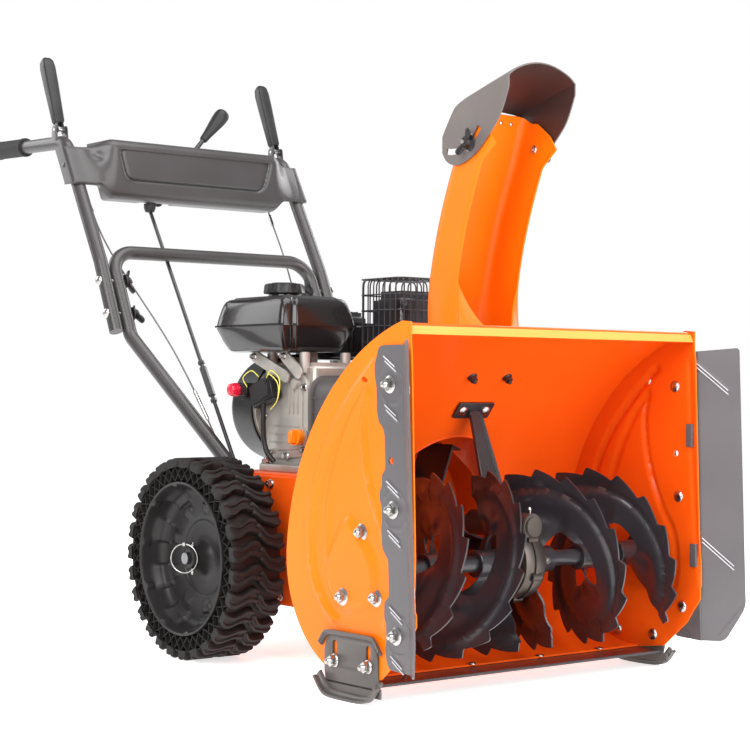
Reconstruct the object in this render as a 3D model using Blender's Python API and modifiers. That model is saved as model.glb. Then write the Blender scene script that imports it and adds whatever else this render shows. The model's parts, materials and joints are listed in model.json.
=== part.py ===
"""Two stage snowblower: auger housing, impeller, chute, engine, drive, wheels and handlebars.

Metres, +Z up. The machine's front faces -Y and its own left side is +X. The ground is z = 0.
Distances along the machine are measured back from the front bolt column of the side plates.
"""
import math

import bmesh
import bpy
from mathutils import Matrix, Vector

# ---------------------------------------------------------------- driving dimensions
COLUMN_Y = -0.6013            # front bolt column, at the height of its middle bolt
HALF_WIDTH = 0.290            # outer face of a side plate
SHEET = 0.003                 # pressed steel sheet
GAP = 0.0004                  # clearance between touching pieces
FINE = 0.0006                 # running clearance of a shaft in its bore

BOWL_DISTANCE, BOWL_Z, BOWL_RADIUS = 0.090, 0.195, 0.163     # round lower back of the housing
ROOF_RADIUS = 0.370                                          # wide upper back of the housing
ROOF_START, ROOF_END = math.radians(5), math.radians(74)
LIP_DISTANCE, LIP_DROP = -0.030, 0.014                       # folded front edge of the roof
COLUMN_LEAN = 0.0465                                         # the front edges lean forward at the foot
COLUMN_MIDDLE_Z = 0.276

AUGER_DISTANCE, AUGER_Z, AUGER_RADIUS = 0.077, 0.183, 0.139
AUGER_PITCH = 0.220                                          # two-start ribbon
SHAFT_RADIUS = 0.0125
IMPELLER_Z = 0.238
IMPELLER_RADIUS = 0.124
DRUM_RADIUS, DRUM_BACK = 0.135, 0.358                        # outside of the impeller drum

CHUTE_X, CHUTE_DISTANCE, CHUTE_RADIUS = 0.070, 0.2427, 0.0735
CHUTE_BASE_Z = 0.450
CHUTE_HALF_WIDTH, CHUTE_DEPTH = 0.066, 0.077
HOOD_HINGE = (0.2135, 0.8905)                                # distance, height
HOOD_SLOT_RADIUS = 0.071

WHEEL_DISTANCE, WHEEL_RADIUS, WHEEL_WIDTH = 0.5625, 0.165, 0.100
WHEEL_OUTER_X = 0.290
RIM_RADIUS = 0.1255
AXLE_RADIUS = 0.0095

CRANK_Z = 0.410
DISC_Z = 0.200                                               # friction disc of the wheel drive
GEAR_RADIUS, PINION_RADIUS = 0.0300, 0.0205                  # reduction from the disc shaft to the axle
FRAME_HALF, FRAME_FRONT, FRAME_REAR = 0.150, 0.3590, 0.660
FRAME_LOW, FRAME_TOP = 0.088, 0.302

TUBE_RADIUS = 0.0125
LOWER_TUBE_X, UPPER_TUBE_X = 0.2190, 0.2455
LEVER_PIVOT = (1.0560, 0.9240)
SHIFT_PIVOT_X, SHIFT_PIVOT = -0.062, (1.015, 0.800)
SHIFT_TILT = math.radians(40)

SHIFT_ROD_FOOT = (-0.124, COLUMN_Y + 0.628, 0.286)
# across, distance and height of points on the left clutch cable
CABLE_ROUTE = ((0.205, 1.010, 0.778), (0.203, 0.948, 0.690), (0.170, 0.788, 0.500),
               (0.139, 0.6660, 0.310), (0.138, 0.6645, 0.270))

SEGMENTS = 12


def back(distance):
    """Y of a point at a distance behind the front bolt column."""
    return COLUMN_Y + distance


def lean(z):
    """How far the front edge of the housing stands back at a height."""
    return COLUMN_LEAN * (z - COLUMN_MIDDLE_Z)


# ---------------------------------------------------------------- scene and materials
for leftover in list(bpy.data.objects):
    bpy.data.objects.remove(leftover)

part_collection = bpy.data.collections.new("two_stage_snowblower")
bpy.context.scene.collection.children.link(part_collection)

FINISHES = {
    "orange_paint": ((0.90, 0.19, 0.02), 0.35, 0.0),
    "taupe_paint": ((0.13, 0.11, 0.10), 0.45, 0.1),
    "grey_paint": ((0.16, 0.16, 0.18), 0.45, 0.2),
    "black_steel": ((0.025, 0.023, 0.025), 0.40, 0.4),
    "zinc": ((0.62, 0.60, 0.55), 0.30, 1.0),
    "bare_steel": ((0.45, 0.45, 0.46), 0.35, 1.0),
    "cast_aluminium": ((0.60, 0.57, 0.52), 0.45, 0.9),
    "black_plastic": ((0.02, 0.02, 0.02), 0.50, 0.0),
    "grey_plastic": ((0.11, 0.10, 0.10), 0.50, 0.0),
    "gloss_black": ((0.010, 0.009, 0.009), 0.12, 0.0),
    "rim_plastic": ((0.05, 0.05, 0.05), 0.45, 0.0),
    "tyre_rubber": ((0.022, 0.018, 0.017), 0.75, 0.0),
    "grip_rubber": ((0.020, 0.020, 0.020), 0.80, 0.0),
    "belt_rubber": ((0.015, 0.015, 0.015), 0.85, 0.0),
    "red_plastic": ((0.75, 0.02, 0.05), 0.35, 0.0),
    "orange_plastic": ((0.95, 0.28, 0.01), 0.40, 0.0),
}


def make_material(name):
    colour, roughness, metallic = FINISHES[name]
    material = bpy.data.materials.new(name)
    material.use_nodes = True
    shader = material.node_tree.nodes["Principled BSDF"]
    shader.inputs["Base Color"].default_value = (*colour, 1.0)
    shader.inputs["Roughness"].default_value = roughness
    shader.inputs["Metallic"].default_value = metallic
    return material


# ---------------------------------------------------------------- modelling tools
def new_object(name, data):
    thing = bpy.data.objects.new(name, data)
    part_collection.objects.link(thing)
    return thing


def from_bmesh(name, bm):
    bmesh.ops.recalc_face_normals(bm, faces=bm.faces)
    mesh = bpy.data.meshes.new(name)
    bm.to_mesh(mesh)
    bm.free()
    return new_object(name, mesh)


def bake(thing):
    """Turn an object and its modifiers into a plain welded mesh object of the same name."""
    bpy.context.view_layer.update()
    evaluated = thing.evaluated_get(bpy.context.evaluated_depsgraph_get())
    mesh = bpy.data.meshes.new_from_object(evaluated)
    mesh.transform(thing.matrix_world)
    bm = bmesh.new()
    bm.from_mesh(mesh)
    bmesh.ops.remove_doubles(bm, verts=bm.verts, dist=0.00002)
    bmesh.ops.recalc_face_normals(bm, faces=bm.faces)
    bm.to_mesh(mesh)
    bm.free()
    name = thing.name
    bpy.data.objects.remove(thing)
    return new_object(name, mesh)


def boolean(target, tools, operation):
    for tool in tools:
        modifier = target.modifiers.new(operation, "BOOLEAN")
        modifier.operation = operation
        modifier.solver = "EXACT"
        modifier.object = tool
    result = bake(target)
    for tool in tools:
        bpy.data.objects.remove(tool)
    return result


def join(target, *tools):
    return boolean(target, tools, "UNION")


def cut(target, *tools):
    return boolean(target, tools, "DIFFERENCE")


def block(low, high, bevel=0.0, name="block"):
    """A box between two corners, with an optional bevel."""
    low, high = Vector(low), Vector(high)
    bm = bmesh.new()
    size = high - low
    middle = (low + high) / 2
    matrix = Matrix.Translation(middle) @ Matrix.Diagonal((*size, 1.0))
    bmesh.ops.create_cube(bm, size=1.0, matrix=matrix)
    if bevel:
        bmesh.ops.bevel(bm, geom=bm.edges[:], offset=bevel, segments=2, affect="EDGES")
    return from_bmesh(name, bm)


def rod(start, end, radius, end_radius=None, segments=SEGMENTS, name="rod"):
    """A cylinder or cone between two points."""
    start, end = Vector(start), Vector(end)
    direction = end - start
    turn = direction.to_track_quat("Z", "Y").to_matrix().to_4x4()
    matrix = Matrix.Translation((start + end) / 2) @ turn
    bm = bmesh.new()
    bmesh.ops.create_cone(bm, cap_ends=True, segments=segments, radius1=radius,
                          radius2=radius if end_radius is None else end_radius,
                          depth=direction.length, matrix=matrix)
    return from_bmesh(name, bm)


AXES = {"X": Matrix(((0, 0, 1), (0, 1, 0), (-1, 0, 0))).to_4x4(),
        "Y": Matrix(((1, 0, 0), (0, 0, 1), (0, -1, 0))).to_4x4(),
        "Z": Matrix.Identity(4)}


def turned(profile, axis, centre, steps=SEGMENTS, name="turned"):
    """Turn a closed profile of (radius, distance along the axis) points about an axis."""
    bm = bmesh.new()
    verts = [bm.verts.new((radius, 0.0, along)) for radius, along in profile]
    for first, second in zip(verts, verts[1:] + verts[:1]):
        bm.edges.new((first, second))
    mesh = bpy.data.meshes.new(name)
    bm.to_mesh(mesh)
    bm.free()
    thing = new_object(name, mesh)
    screw = thing.modifiers.new("turn", "SCREW")
    screw.steps = steps
    screw.render_steps = steps
    screw.use_merge_vertices = True
    screw.merge_threshold = 0.00001
    thing.matrix_world = Matrix.Translation(centre) @ AXES[axis]
    return bake(thing)


PLANES = {"YZ": Matrix(((0, 0, 1), (1, 0, 0), (0, 1, 0))).to_4x4(),
          "XZ": Matrix(((1, 0, 0), (0, 0, -1), (0, 1, 0))).to_4x4(),
          "XY": Matrix.Identity(4)}


def plate(outline, plane, offset, thickness, holes=(), name="plate"):
    """A flat plate in a plane; offset places its middle along the plane's normal."""
    curve = bpy.data.curves.new(name, "CURVE")
    curve.dimensions = "2D"
    curve.fill_mode = "BOTH"
    curve.extrude = thickness / 2
    for loop in (outline, *holes):
        spline = curve.splines.new("POLY")
        spline.points.add(len(loop) - 1)
        for point, (u, v) in zip(spline.points, loop):
            point.co = (u, v, 0.0, 1.0)
        spline.use_cyclic_u = True
    thing = new_object(name, curve)
    thing.matrix_world = PLANES[plane] @ Matrix.Translation((0.0, 0.0, offset))
    return bake(thing)


def tube(points, radius, resolution=2, name="tube", closed=False):
    """A round wire or tube along a list of points."""
    curve = bpy.data.curves.new(name, "CURVE")
    curve.dimensions = "3D"
    curve.bevel_depth = radius
    curve.bevel_resolution = resolution
    curve.use_fill_caps = True
    spline = curve.splines.new("POLY")
    spline.points.add(len(points) - 1)
    for point, co in zip(spline.points, points):
        point.co = (*co, 1.0)
    spline.use_cyclic_u = closed
    return bake(new_object(name, curve))


def sheet(rows, thickness, offset=0.0, skip=(), closed=False, name="sheet"):
    """A bent sheet through rows of points; skip names the (row, column) cells left open."""
    bm = bmesh.new()
    grid = [[bm.verts.new(point) for point in row] for row in rows]
    columns = len(rows[0]) if closed else len(rows[0]) - 1
    for i in range(len(rows) - 1):
        for j in range(columns):
            if (i, j) in skip:
                continue
            k = (j + 1) % len(rows[0])
            bm.faces.new((grid[i][j], grid[i][k], grid[i + 1][k], grid[i + 1][j]))
    loose = [vert for vert in bm.verts if not vert.link_faces]
    bmesh.ops.delete(bm, geom=loose, context="VERTS")
    mesh = bpy.data.meshes.new(name)
    bm.to_mesh(mesh)
    bm.free()
    thing = new_object(name, mesh)
    solidify = thing.modifiers.new("thickness", "SOLIDIFY")
    solidify.thickness = thickness
    solidify.offset = offset
    solidify.use_even_offset = True
    return bake(thing)


def mirrored(thing, name):
    """A mirror image across the machine's middle plane."""
    mesh = thing.data.copy()
    mesh.transform(Matrix.Diagonal((-1.0, 1.0, 1.0, 1.0)))
    mesh.flip_normals()
    return new_object(name, mesh)


def arc(centre, radius, start, end, count):
    """Points on an arc of a circle, from one angle to another."""
    angles = [start + (end - start) * i / count for i in range(count + 1)]
    return [(centre[0] + radius * math.cos(a), centre[1] + radius * math.sin(a)) for a in angles]


def circle(centre, radius, count=16):
    return arc(centre, radius, 0.0, math.tau, count)[:-1]


def hex_nut(start, end, radius):
    return rod(start, end, radius, segments=6)


def rounded_path(points, radius, steps=4):
    """A polyline whose inner corners are replaced by short arcs."""
    corners = [Vector(point) for point in points]
    path = [corners[0]]
    for before, corner, after in zip(corners, corners[1:], corners[2:]):
        entry = corner + (before - corner).normalized() * radius
        leave = corner + (after - corner).normalized() * radius
        for i in range(steps + 1):
            t = i / steps
            path.append(entry * (1 - t) ** 2 + corner * 2 * t * (1 - t) + leave * t ** 2)
    path.append(corners[-1])
    return path


# ---------------------------------------------------------------- bodies and their axes
BODY_PIVOTS = {
    "frame": (0.0, 0.0, 0.0),
    "auger": (0.0, back(AUGER_DISTANCE), AUGER_Z),
    "impeller": (0.0, back(0.300), IMPELLER_Z),
    "engine_crank": (0.0, back(0.500), CRANK_Z),
    "drive_disc": (0.0, back(0.480), DISC_Z),
    "friction_wheel": (0.0, back(0.5250), DISC_Z),
    "wheels": (0.0, back(WHEEL_DISTANCE), WHEEL_RADIUS),
    "chute": (CHUTE_X, back(CHUTE_DISTANCE), CHUTE_BASE_Z),
    "hood": (CHUTE_X, back(HOOD_HINGE[0]), HOOD_HINGE[1]),
    "auger_lever": (-UPPER_TUBE_X, back(LEVER_PIVOT[0]), LEVER_PIVOT[1]),
    "drive_lever": (UPPER_TUBE_X, back(LEVER_PIVOT[0]), LEVER_PIVOT[1]),
    "shift_lever": (SHIFT_PIVOT_X, back(SHIFT_PIVOT[0]), SHIFT_PIVOT[1]),
    "shift_rod": (SHIFT_PIVOT_X, back(SHIFT_PIVOT[0]), SHIFT_PIVOT[1]),
    "right_shoe": (-HALF_WIDTH, back(0.095), 0.045),
    "left_shoe": (HALF_WIDTH, back(0.095), 0.045),
    "tank_cap": (-0.050, back(0.6065), 0.610),
    "dipstick": (-0.090, back(0.512), 0.362),
    "stop_switch": (-0.112, back(0.668), 0.441),
    "starter_grip": (-0.045, back(0.752), 0.430),
}

pivots = {}
for body, place in BODY_PIVOTS.items():
    pivots[body] = bpy.data.objects.new(body + "_axis", None)
    pivots[body].location = place
    part_collection.objects.link(pivots[body])
pivots["hood"].parent = pivots["chute"]
pivots["hood"].location = Vector(BODY_PIVOTS["hood"]) - Vector(BODY_PIVOTS["chute"])


def finish(thing, name, finish_name, body="frame"):
    """Name an object, paint it and hang it on its body's axis."""
    thing.name = name
    thing.data.name = name
    thing.data.transform(Matrix.Translation(-Vector(BODY_PIVOTS[body])))
    thing.parent = pivots[body]
    own = make_material(finish_name)
    own.name = name + "_" + finish_name
    thing.data.materials.clear()
    thing.data.materials.append(own)
    thing.data.shade_smooth()
    thing.data.set_sharp_from_angle(angle=math.radians(35))
    return thing


# ---------------------------------------------------------------- auger housing
BOWL = (back(BOWL_DISTANCE), BOWL_Z)
ROOF = (BOWL[0] - (ROOF_RADIUS - BOWL_RADIUS) * math.cos(ROOF_START),
        BOWL_Z - (ROOF_RADIUS - BOWL_RADIUS) * math.sin(ROOF_START))
ROOF_TOP = ROOF[1] + ROOF_RADIUS * math.sin(ROOF_END)
FLOOR_FRONT = back(0.085)


def housing_arcs(offset, count=8):
    """The (y, z) line of the housing's back, from the floor up to the roof."""
    bowl = arc(BOWL, BOWL_RADIUS + offset, -math.pi / 2, ROOF_START, count)
    roof = arc(ROOF, ROOF_RADIUS + offset, ROOF_START, ROOF_END, count)
    return bowl + roof[1:]


def make_housing():
    lip = back(LIP_DISTANCE)
    inner = [(FLOOR_FRONT, BOWL_Z - BOWL_RADIUS)] + housing_arcs(0.0)[1:]
    inner += [(lip + SHEET, ROOF_TOP), (lip + SHEET, ROOF_TOP - LIP_DROP)]
    outer = [(FLOOR_FRONT, BOWL_Z - BOWL_RADIUS - SHEET)] + housing_arcs(SHEET)[1:]
    outer += [(lip, ROOF_TOP + SHEET), (lip, ROOF_TOP - LIP_DROP)]
    width = 2 * (HALF_WIDTH - SHEET - GAP)
    shell = plate(inner + outer[::-1], "YZ", 0.0, width)
    opening = rod((0, back(0.12), IMPELLER_Z), (0, back(0.34), IMPELLER_Z), DRUM_RADIUS - SHEET,
                  segments=28)
    finish(cut(shell, opening), "auger_housing", "orange_paint")


def side_outline():
    """Edge of a side plate, from the foot of its front edge round the back to the lip."""
    foot = [(back(0.030), 0.0365), (back(-0.018), 0.078), (back(-0.046), 0.118)]
    front_top = (back(-0.044 + lean(0.49)), 0.490)
    return [front_top, foot[2], foot[1], foot[0]] + housing_arcs(SHEET + 0.003) + [
        (back(LIP_DISTANCE - 0.002), ROOF_TOP + SHEET + 0.001)]


WING_BOLTS = (0.102, 0.276, 0.450)
BEARING_BOLTS = [(0.075, 0.240), (0.041, 0.150), (0.111, 0.146)]
SHOE_BOLTS = (0.054, 0.132)
SHOE_BOLT_Z = 0.052


def make_side_plate():
    """The machine's right side plate with its bearing bolts, wing bolts and shoe bolts."""
    axis = (back(AUGER_DISTANCE), AUGER_Z)
    side = plate(side_outline(), "YZ", -(HALF_WIDTH - SHEET / 2), SHEET,
                 holes=[circle(axis, SHAFT_RADIUS + 0.004)])
    root = -HALF_WIDTH + 0.001
    fittings = []
    for distance, z in BEARING_BOLTS:
        fittings.append(hex_nut((root, back(distance), z), (-HALF_WIDTH - 0.007, back(distance), z), 0.009))
    for z in WING_BOLTS:
        y = back(lean(z))
        fittings.append(rod((root, y, z), (-HALF_WIDTH - 0.0120, y, z), 0.0042, segments=8))
        fittings.append(hex_nut((-HALF_WIDTH - 0.0042, y, z), (-HALF_WIDTH - 0.0105, y, z), 0.0085))
    for distance in SHOE_BOLTS:
        y = back(distance)
        fittings.append(rod((root, y, SHOE_BOLT_Z), (-HALF_WIDTH - 0.0130, y, SHOE_BOLT_Z), 0.0040,
                            segments=8))
        fittings.append(hex_nut((-HALF_WIDTH - 0.0052, y, SHOE_BOLT_Z),
                                (-HALF_WIDTH - 0.0115, y, SHOE_BOLT_Z), 0.0085))
    return join(side, *fittings)


def make_wing():
    """Right extension wing: a flange against the side plate and a panel angled outward."""
    outward = math.radians(35)
    bend_x, flange_rear, bend = HALF_WIDTH + GAP + SHEET / 2, 0.0175, -0.033
    columns = [(0.0, flange_rear, 0.052, 0.505), (0.0, bend, 0.052, 0.505),
               (0.038, bend, 0.052, 0.511), (0.078, bend, 0.106, 0.511)]
    rows = []
    for top in (False, True):
        row = []
        for run, start, low, high in columns:
            z = high if top else low
            y = back(start + lean(z) - run * math.cos(outward))
            row.append((-bend_x - run * math.sin(outward), y, z))
        rows.append(row)
    wing = sheet(rows, SHEET)
    holes = [rod((-HALF_WIDTH + 0.01, back(lean(z)), z), (-HALF_WIDTH - 0.01, back(lean(z)), z), 0.0052,
                 segments=8) for z in WING_BOLTS]
    return cut(wing, *holes)


def make_skid_shoe():
    """Right skid shoe: a slotted plate with a curled foot at the ground and at its top."""
    middle, half_length, top = 0.095, 0.076, 0.089
    x = -HALF_WIDTH - GAP - 0.002
    outline = [(back(middle - half_length), 0.022), (back(middle - half_length + 0.022), 0.0),
               (back(middle + half_length - 0.022), 0.0), (back(middle + half_length), 0.022),
               (back(middle + half_length - 0.014), 0.036), (back(middle + half_length - 0.014), 0.068),
               (back(middle + half_length - 0.022), top), (back(middle - half_length + 0.022), top),
               (back(middle - half_length + 0.014), 0.068), (back(middle - half_length + 0.014), 0.036)]
    slots = []
    for distance in SHOE_BOLTS:
        y = back(distance)
        slots.append([(y - 0.0052, 0.046), (y + 0.0052, 0.046), (y + 0.0052, 0.082), (y - 0.0052, 0.082)])
    shoe = plate(outline, "YZ", x, 0.004, holes=slots)
    sole = block((x - 0.0140, back(middle - half_length + 0.022), 0.0),
                 (x - 0.0010, back(middle + half_length - 0.022), 0.004))
    return join(shoe, sole)


def make_bearing():
    """Right auger bearing housing, inside the side plate."""
    inner = -HALF_WIDTH + SHEET + GAP
    centre = (0.0, back(AUGER_DISTANCE), AUGER_Z)
    profile = [(SHAFT_RADIUS + FINE, -inner), (0.034, -inner), (0.034, -inner - 0.004),
               (0.022, -inner - 0.006), (0.022, -inner - 0.014), (SHAFT_RADIUS + FINE, -inner - 0.014)]
    return turned([(r, x) for r, x in profile], "X", centre)


def make_mirrored_pairs():
    pairs = [
        (make_side_plate, "side_plate", "orange_paint", "frame"),
        (make_wing, "extension_wing", "grey_paint", "frame"),
        (make_skid_shoe, "skid_shoe", "taupe_paint", "shoe"),
    ]
    for build, name, paint, body in pairs:
        right = build()
        left = mirrored(right, name + "_left")
        finish(left, name + "_left", paint, "left_shoe" if body == "shoe" else body)
        finish(right, name + "_right", paint, "right_shoe" if body == "shoe" else body)
    bearing = make_bearing()
    finish(mirrored(bearing, "auger_bearing_right"), "auger_bearing_right", "black_steel")
    finish(bearing, "auger_bearing_left", "black_steel")


def make_drum():
    """Impeller drum behind the housing, with the chute neck on top."""
    front = back(0.150)
    rear = back(DRUM_BACK)
    axis_z = IMPELLER_Z
    drum = rod((0, front, axis_z), (0, rear, axis_z), DRUM_RADIUS, segments=28)
    neck_foot, neck_top = 0.262, CHUTE_BASE_Z - GAP
    chute_y = back(CHUTE_DISTANCE)
    neck = rod((CHUTE_X, chute_y, neck_foot), (CHUTE_X, chute_y, neck_top), CHUTE_RADIUS, segments=24)
    flange = rod((CHUTE_X, chute_y, neck_top - SHEET), (CHUTE_X, chute_y, neck_top), 0.0850, segments=24)
    drum = join(drum, neck, flange)
    hollow = rod((0, front - 0.01, axis_z), (0, rear - SHEET, axis_z), DRUM_RADIUS - SHEET, segments=28)
    throat = rod((CHUTE_X, chute_y, neck_foot + 0.002), (CHUTE_X, chute_y, neck_top + 0.01),
                 CHUTE_RADIUS - SHEET, segments=24)
    bore = rod((0, rear - 0.02, axis_z), (0, rear + 0.02, axis_z), 0.0115)
    outline = [(back(-0.2), 0.0)] + housing_arcs(SHEET + GAP) + [(back(-0.2), ROOF_TOP + 0.05)]
    housing_space = plate(outline, "YZ", 0.0, 0.6)
    finish(cut(drum, hollow, throat, bore, housing_space), "impeller_drum", "orange_paint")


def strip(line):
    """Rows of a strip through (y, z, half width) stations."""
    return [[(-half, y, z), (half, y, z)] for y, z, half in line]


def make_scraper_and_supports():
    top = BOWL_Z - BOWL_RADIUS - SHEET - GAP
    bar = block((-HALF_WIDTH + SHEET + GAP, back(0.034), top - 0.004),
                (HALF_WIDTH - SHEET - GAP, back(0.108), top))
    finish(bar, "scraper_bar", "black_steel")
    outline = housing_arcs(-0.0045, 40)
    wall = [point for point in outline if 0.392 < point[1] < 0.428]
    high, low = wall[-1], wall[0]
    strut_foot = (back(0.112), IMPELLER_Z + 0.0265)
    middle = ((high[0] + low[0]) / 2 - 0.001, (high[1] + low[1]) / 2)
    flange = sheet(strip([(*high, 0.036), (*low, 0.036)]), SHEET)
    web = sheet(strip([(*middle, 0.010), (*strut_foot, 0.018), (back(0.080), strut_foot[1], 0.018)]), SHEET)
    finish(join(flange, web), "gearbox_support", "black_steel")


# ---------------------------------------------------------------- auger and its gearbox
def make_gearbox():
    y, z = back(AUGER_DISTANCE), AUGER_Z
    body = rod((-0.021, y, z), (0.021, y, z), 0.0560, segments=20)
    tunnel = rod((0, back(0.030), IMPELLER_Z), (0, back(0.165), IMPELLER_Z), 0.0200)
    collars = rod((-0.030, y, z), (0.030, y, z), 0.0230)
    body = join(body, tunnel, collars)
    wheel_room = rod((-0.0160, y, z), (0.0160, y, z), 0.0500, segments=20)
    worm_room = rod((0, back(0.040), IMPELLER_Z), (0, back(0.20), IMPELLER_Z), 0.0135)
    shaft_room = rod((-0.04, y, z), (0.04, y, z), SHAFT_RADIUS + FINE)
    finish(cut(body, wheel_room, worm_room, shaft_room), "auger_gearbox", "cast_aluminium")


def make_auger():
    y, z = back(AUGER_DISTANCE), AUGER_Z
    reach = HALF_WIDTH + 0.004
    finish(rod((-reach, y, z), (reach, y, z), SHAFT_RADIUS), "auger_shaft", "bare_steel", "auger")
    teeth = 14
    outline = []
    for i in range(teeth):
        for part, radius in ((0.0, 0.0435), (0.3, 0.0435), (0.5, 0.0405), (0.8, 0.0405)):
            angle = math.tau * (i + part) / teeth
            outline.append((y + radius * math.cos(angle), z + radius * math.sin(angle)))
    wheel = plate(outline, "YZ", 0.0, 0.014, holes=[circle((y, z), SHAFT_RADIUS + 0.001, 12)])
    finish(wheel, "worm_wheel", "bare_steel", "auger")
    left = make_auger_half()
    finish(mirrored(left, "auger_right"), "auger_right", "black_steel", "auger")
    finish(left, "auger_left", "black_steel", "auger")


def make_auger_half():
    """Left half of the auger: two ribbons half a turn apart, on arms from a hub sleeve."""
    y, z = back(AUGER_DISTANCE), AUGER_Z
    start_x, end_x, steps = 0.034, 0.246, 24
    radii = (0.0180, 0.0860, AUGER_RADIUS)
    arm_centres = (0.050, 0.155, 0.235)
    hub = turned([(SHAFT_RADIUS + GAP, 0.032), (0.0205, 0.032), (0.0205, 0.262),
                  (SHAFT_RADIUS + GAP, 0.262)], "X", (0.0, y, z), name="hub")
    ribbons = []
    for phase in (0.0, math.pi):
        rows, skip = [], set()
        for i in range(steps + 1):
            x = start_x + (end_x - start_x) * i / steps
            angle = math.pi / 2 + math.tau * (x - 0.050) / AUGER_PITCH + phase
            rows.append([(x, y + r * math.cos(angle), z + r * math.sin(angle)) for r in radii])
            if i < steps and min(abs(x - arm) for arm in arm_centres) > 0.0100:
                skip.add((i, 0))
        ribbons.append(sheet(rows, 0.003, skip=skip))
    return join(hub, *ribbons)


def make_impeller():
    z = IMPELLER_Z
    front, rear = back(0.262), back(0.346)
    hub = turned([(0.0100 + GAP, 0.0), (0.024, 0.0), (0.024, rear - front), (0.0100 + GAP, rear - front)],
                 "Y", (0.0, front, z))
    blades = []
    for i in range(4):
        blade = block((-0.0025, front, z + 0.018), (0.0025, rear - 0.002, z + IMPELLER_RADIUS))
        turn = Matrix.Rotation(i * math.pi / 2 + math.radians(20), 4, "Y")
        centre = Matrix.Translation((0, 0, z))
        blade.data.transform(centre @ turn @ centre.inverted())
        blades.append(blade)
    finish(join(hub, *blades), "impeller", "black_steel", "impeller")
    shaft = rod((0, back(0.105), z), (0, back(0.438), z), 0.0100)
    worm = rod((0, back(0.046), z), (0, back(0.112), z), 0.0105)
    pulley = turned([(0.0095, 0.0), (0.085, 0.0), (0.078, 0.009), (0.085, 0.018), (0.0095, 0.018)], "Y",
                    (0.0, back(0.418), z), steps=24)
    finish(join(shaft, worm, pulley), "impeller_shaft", "bare_steel", "impeller")


# ---------------------------------------------------------------- chute and hood
def chute_back(z):
    """Distance of the chute's back wall at a height; the wall curves forward as it rises."""
    bent = min(z, 0.80) - 0.50
    return 0.2955 - 0.75 * max(bent, 0.0) ** 2 - 0.37 * max(z - 0.80, 0.0)


def chute_point(side, fraction, blend, z):
    """A point of the chute's section, which blends from a ring to a rounded channel."""
    corner = math.atan2(CHUTE_DEPTH, 2 * CHUTE_HALF_WIDTH)
    spans = {"front": (-math.pi + corner, -corner), "left": (-corner, corner),
             "back": (corner, math.pi - corner), "right": (math.pi - corner, math.pi + corner)}
    start, end = spans[side]
    angle = start + (end - start) * fraction
    ring = Vector((CHUTE_RADIUS * math.cos(angle), CHUTE_DISTANCE + CHUTE_RADIUS * math.sin(angle)))
    rear = chute_back(z)
    front = rear - CHUTE_DEPTH
    across = CHUTE_HALF_WIDTH * (2 * fraction - 1)
    depth = front + CHUTE_DEPTH * fraction
    square = {"front": (across, front), "left": (CHUTE_HALF_WIDTH, depth),
              "back": (-across, rear), "right": (-CHUTE_HALF_WIDTH, front + rear - depth)}[side]
    mixed = ring.lerp(Vector(square), blend)
    return (CHUTE_X + mixed.x, back(mixed.y), z)


def make_chute():
    counts = {"front": 4, "left": 3, "back": 4, "right": 3}
    foot = CHUTE_BASE_Z + 0.002
    levels = [foot, 0.50, 0.545, 0.605, 0.66, 0.71, 0.76, 0.81, 0.846, 0.885]
    rows, skip = [], set()
    for i, z in enumerate(levels):
        ease = min(max((z - 0.50) / 0.16, 0.0), 1.0)
        blend = ease * ease * (3 - 2 * ease)
        row = []
        for side, count in counts.items():
            for j in range(count):
                x, y, height = chute_point(side, j / count, blend, z)
                if z > 0.80:
                    drop = (z - 0.80) / (levels[-1] - 0.80)
                    y_rear = back(chute_back(z))
                    height -= drop * 0.80 * (y_rear - y)
                row.append((x, y, height))
        rows.append(row)
        if z >= 0.604:
            skip.update({(i, j) for j in range(4)})
        elif z >= 0.544:
            skip.update({(i, 1), (i, 2)})
    channel = sheet(rows, SHEET, skip=skip, closed=True)
    centre = (CHUTE_X, back(CHUTE_DISTANCE), 0.0)
    ring_inner, ring_outer = CHUTE_RADIUS - 0.0012, 0.0850
    ring = turned([(ring_inner, CHUTE_BASE_Z), (ring_outer, CHUTE_BASE_Z),
                   (ring_outer, CHUTE_BASE_Z + SHEET), (ring_inner, CHUTE_BASE_Z + SHEET)],
                  "Z", centre, steps=24)
    chute = join(channel, ring)
    bolt_y, bolt_z = hood_bolt_place()
    hole = rod((CHUTE_X - 0.1, bolt_y, bolt_z), (CHUTE_X + 0.1, bolt_y, bolt_z), 0.0052, segments=12)
    finish(cut(chute, hole), "chute", "orange_paint", "chute")


def hood_bolt_place():
    angle = math.radians(-122)
    return (back(HOOD_HINGE[0]) + HOOD_SLOT_RADIUS * math.cos(angle),
            HOOD_HINGE[1] + HOOD_SLOT_RADIUS * math.sin(angle))


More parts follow.
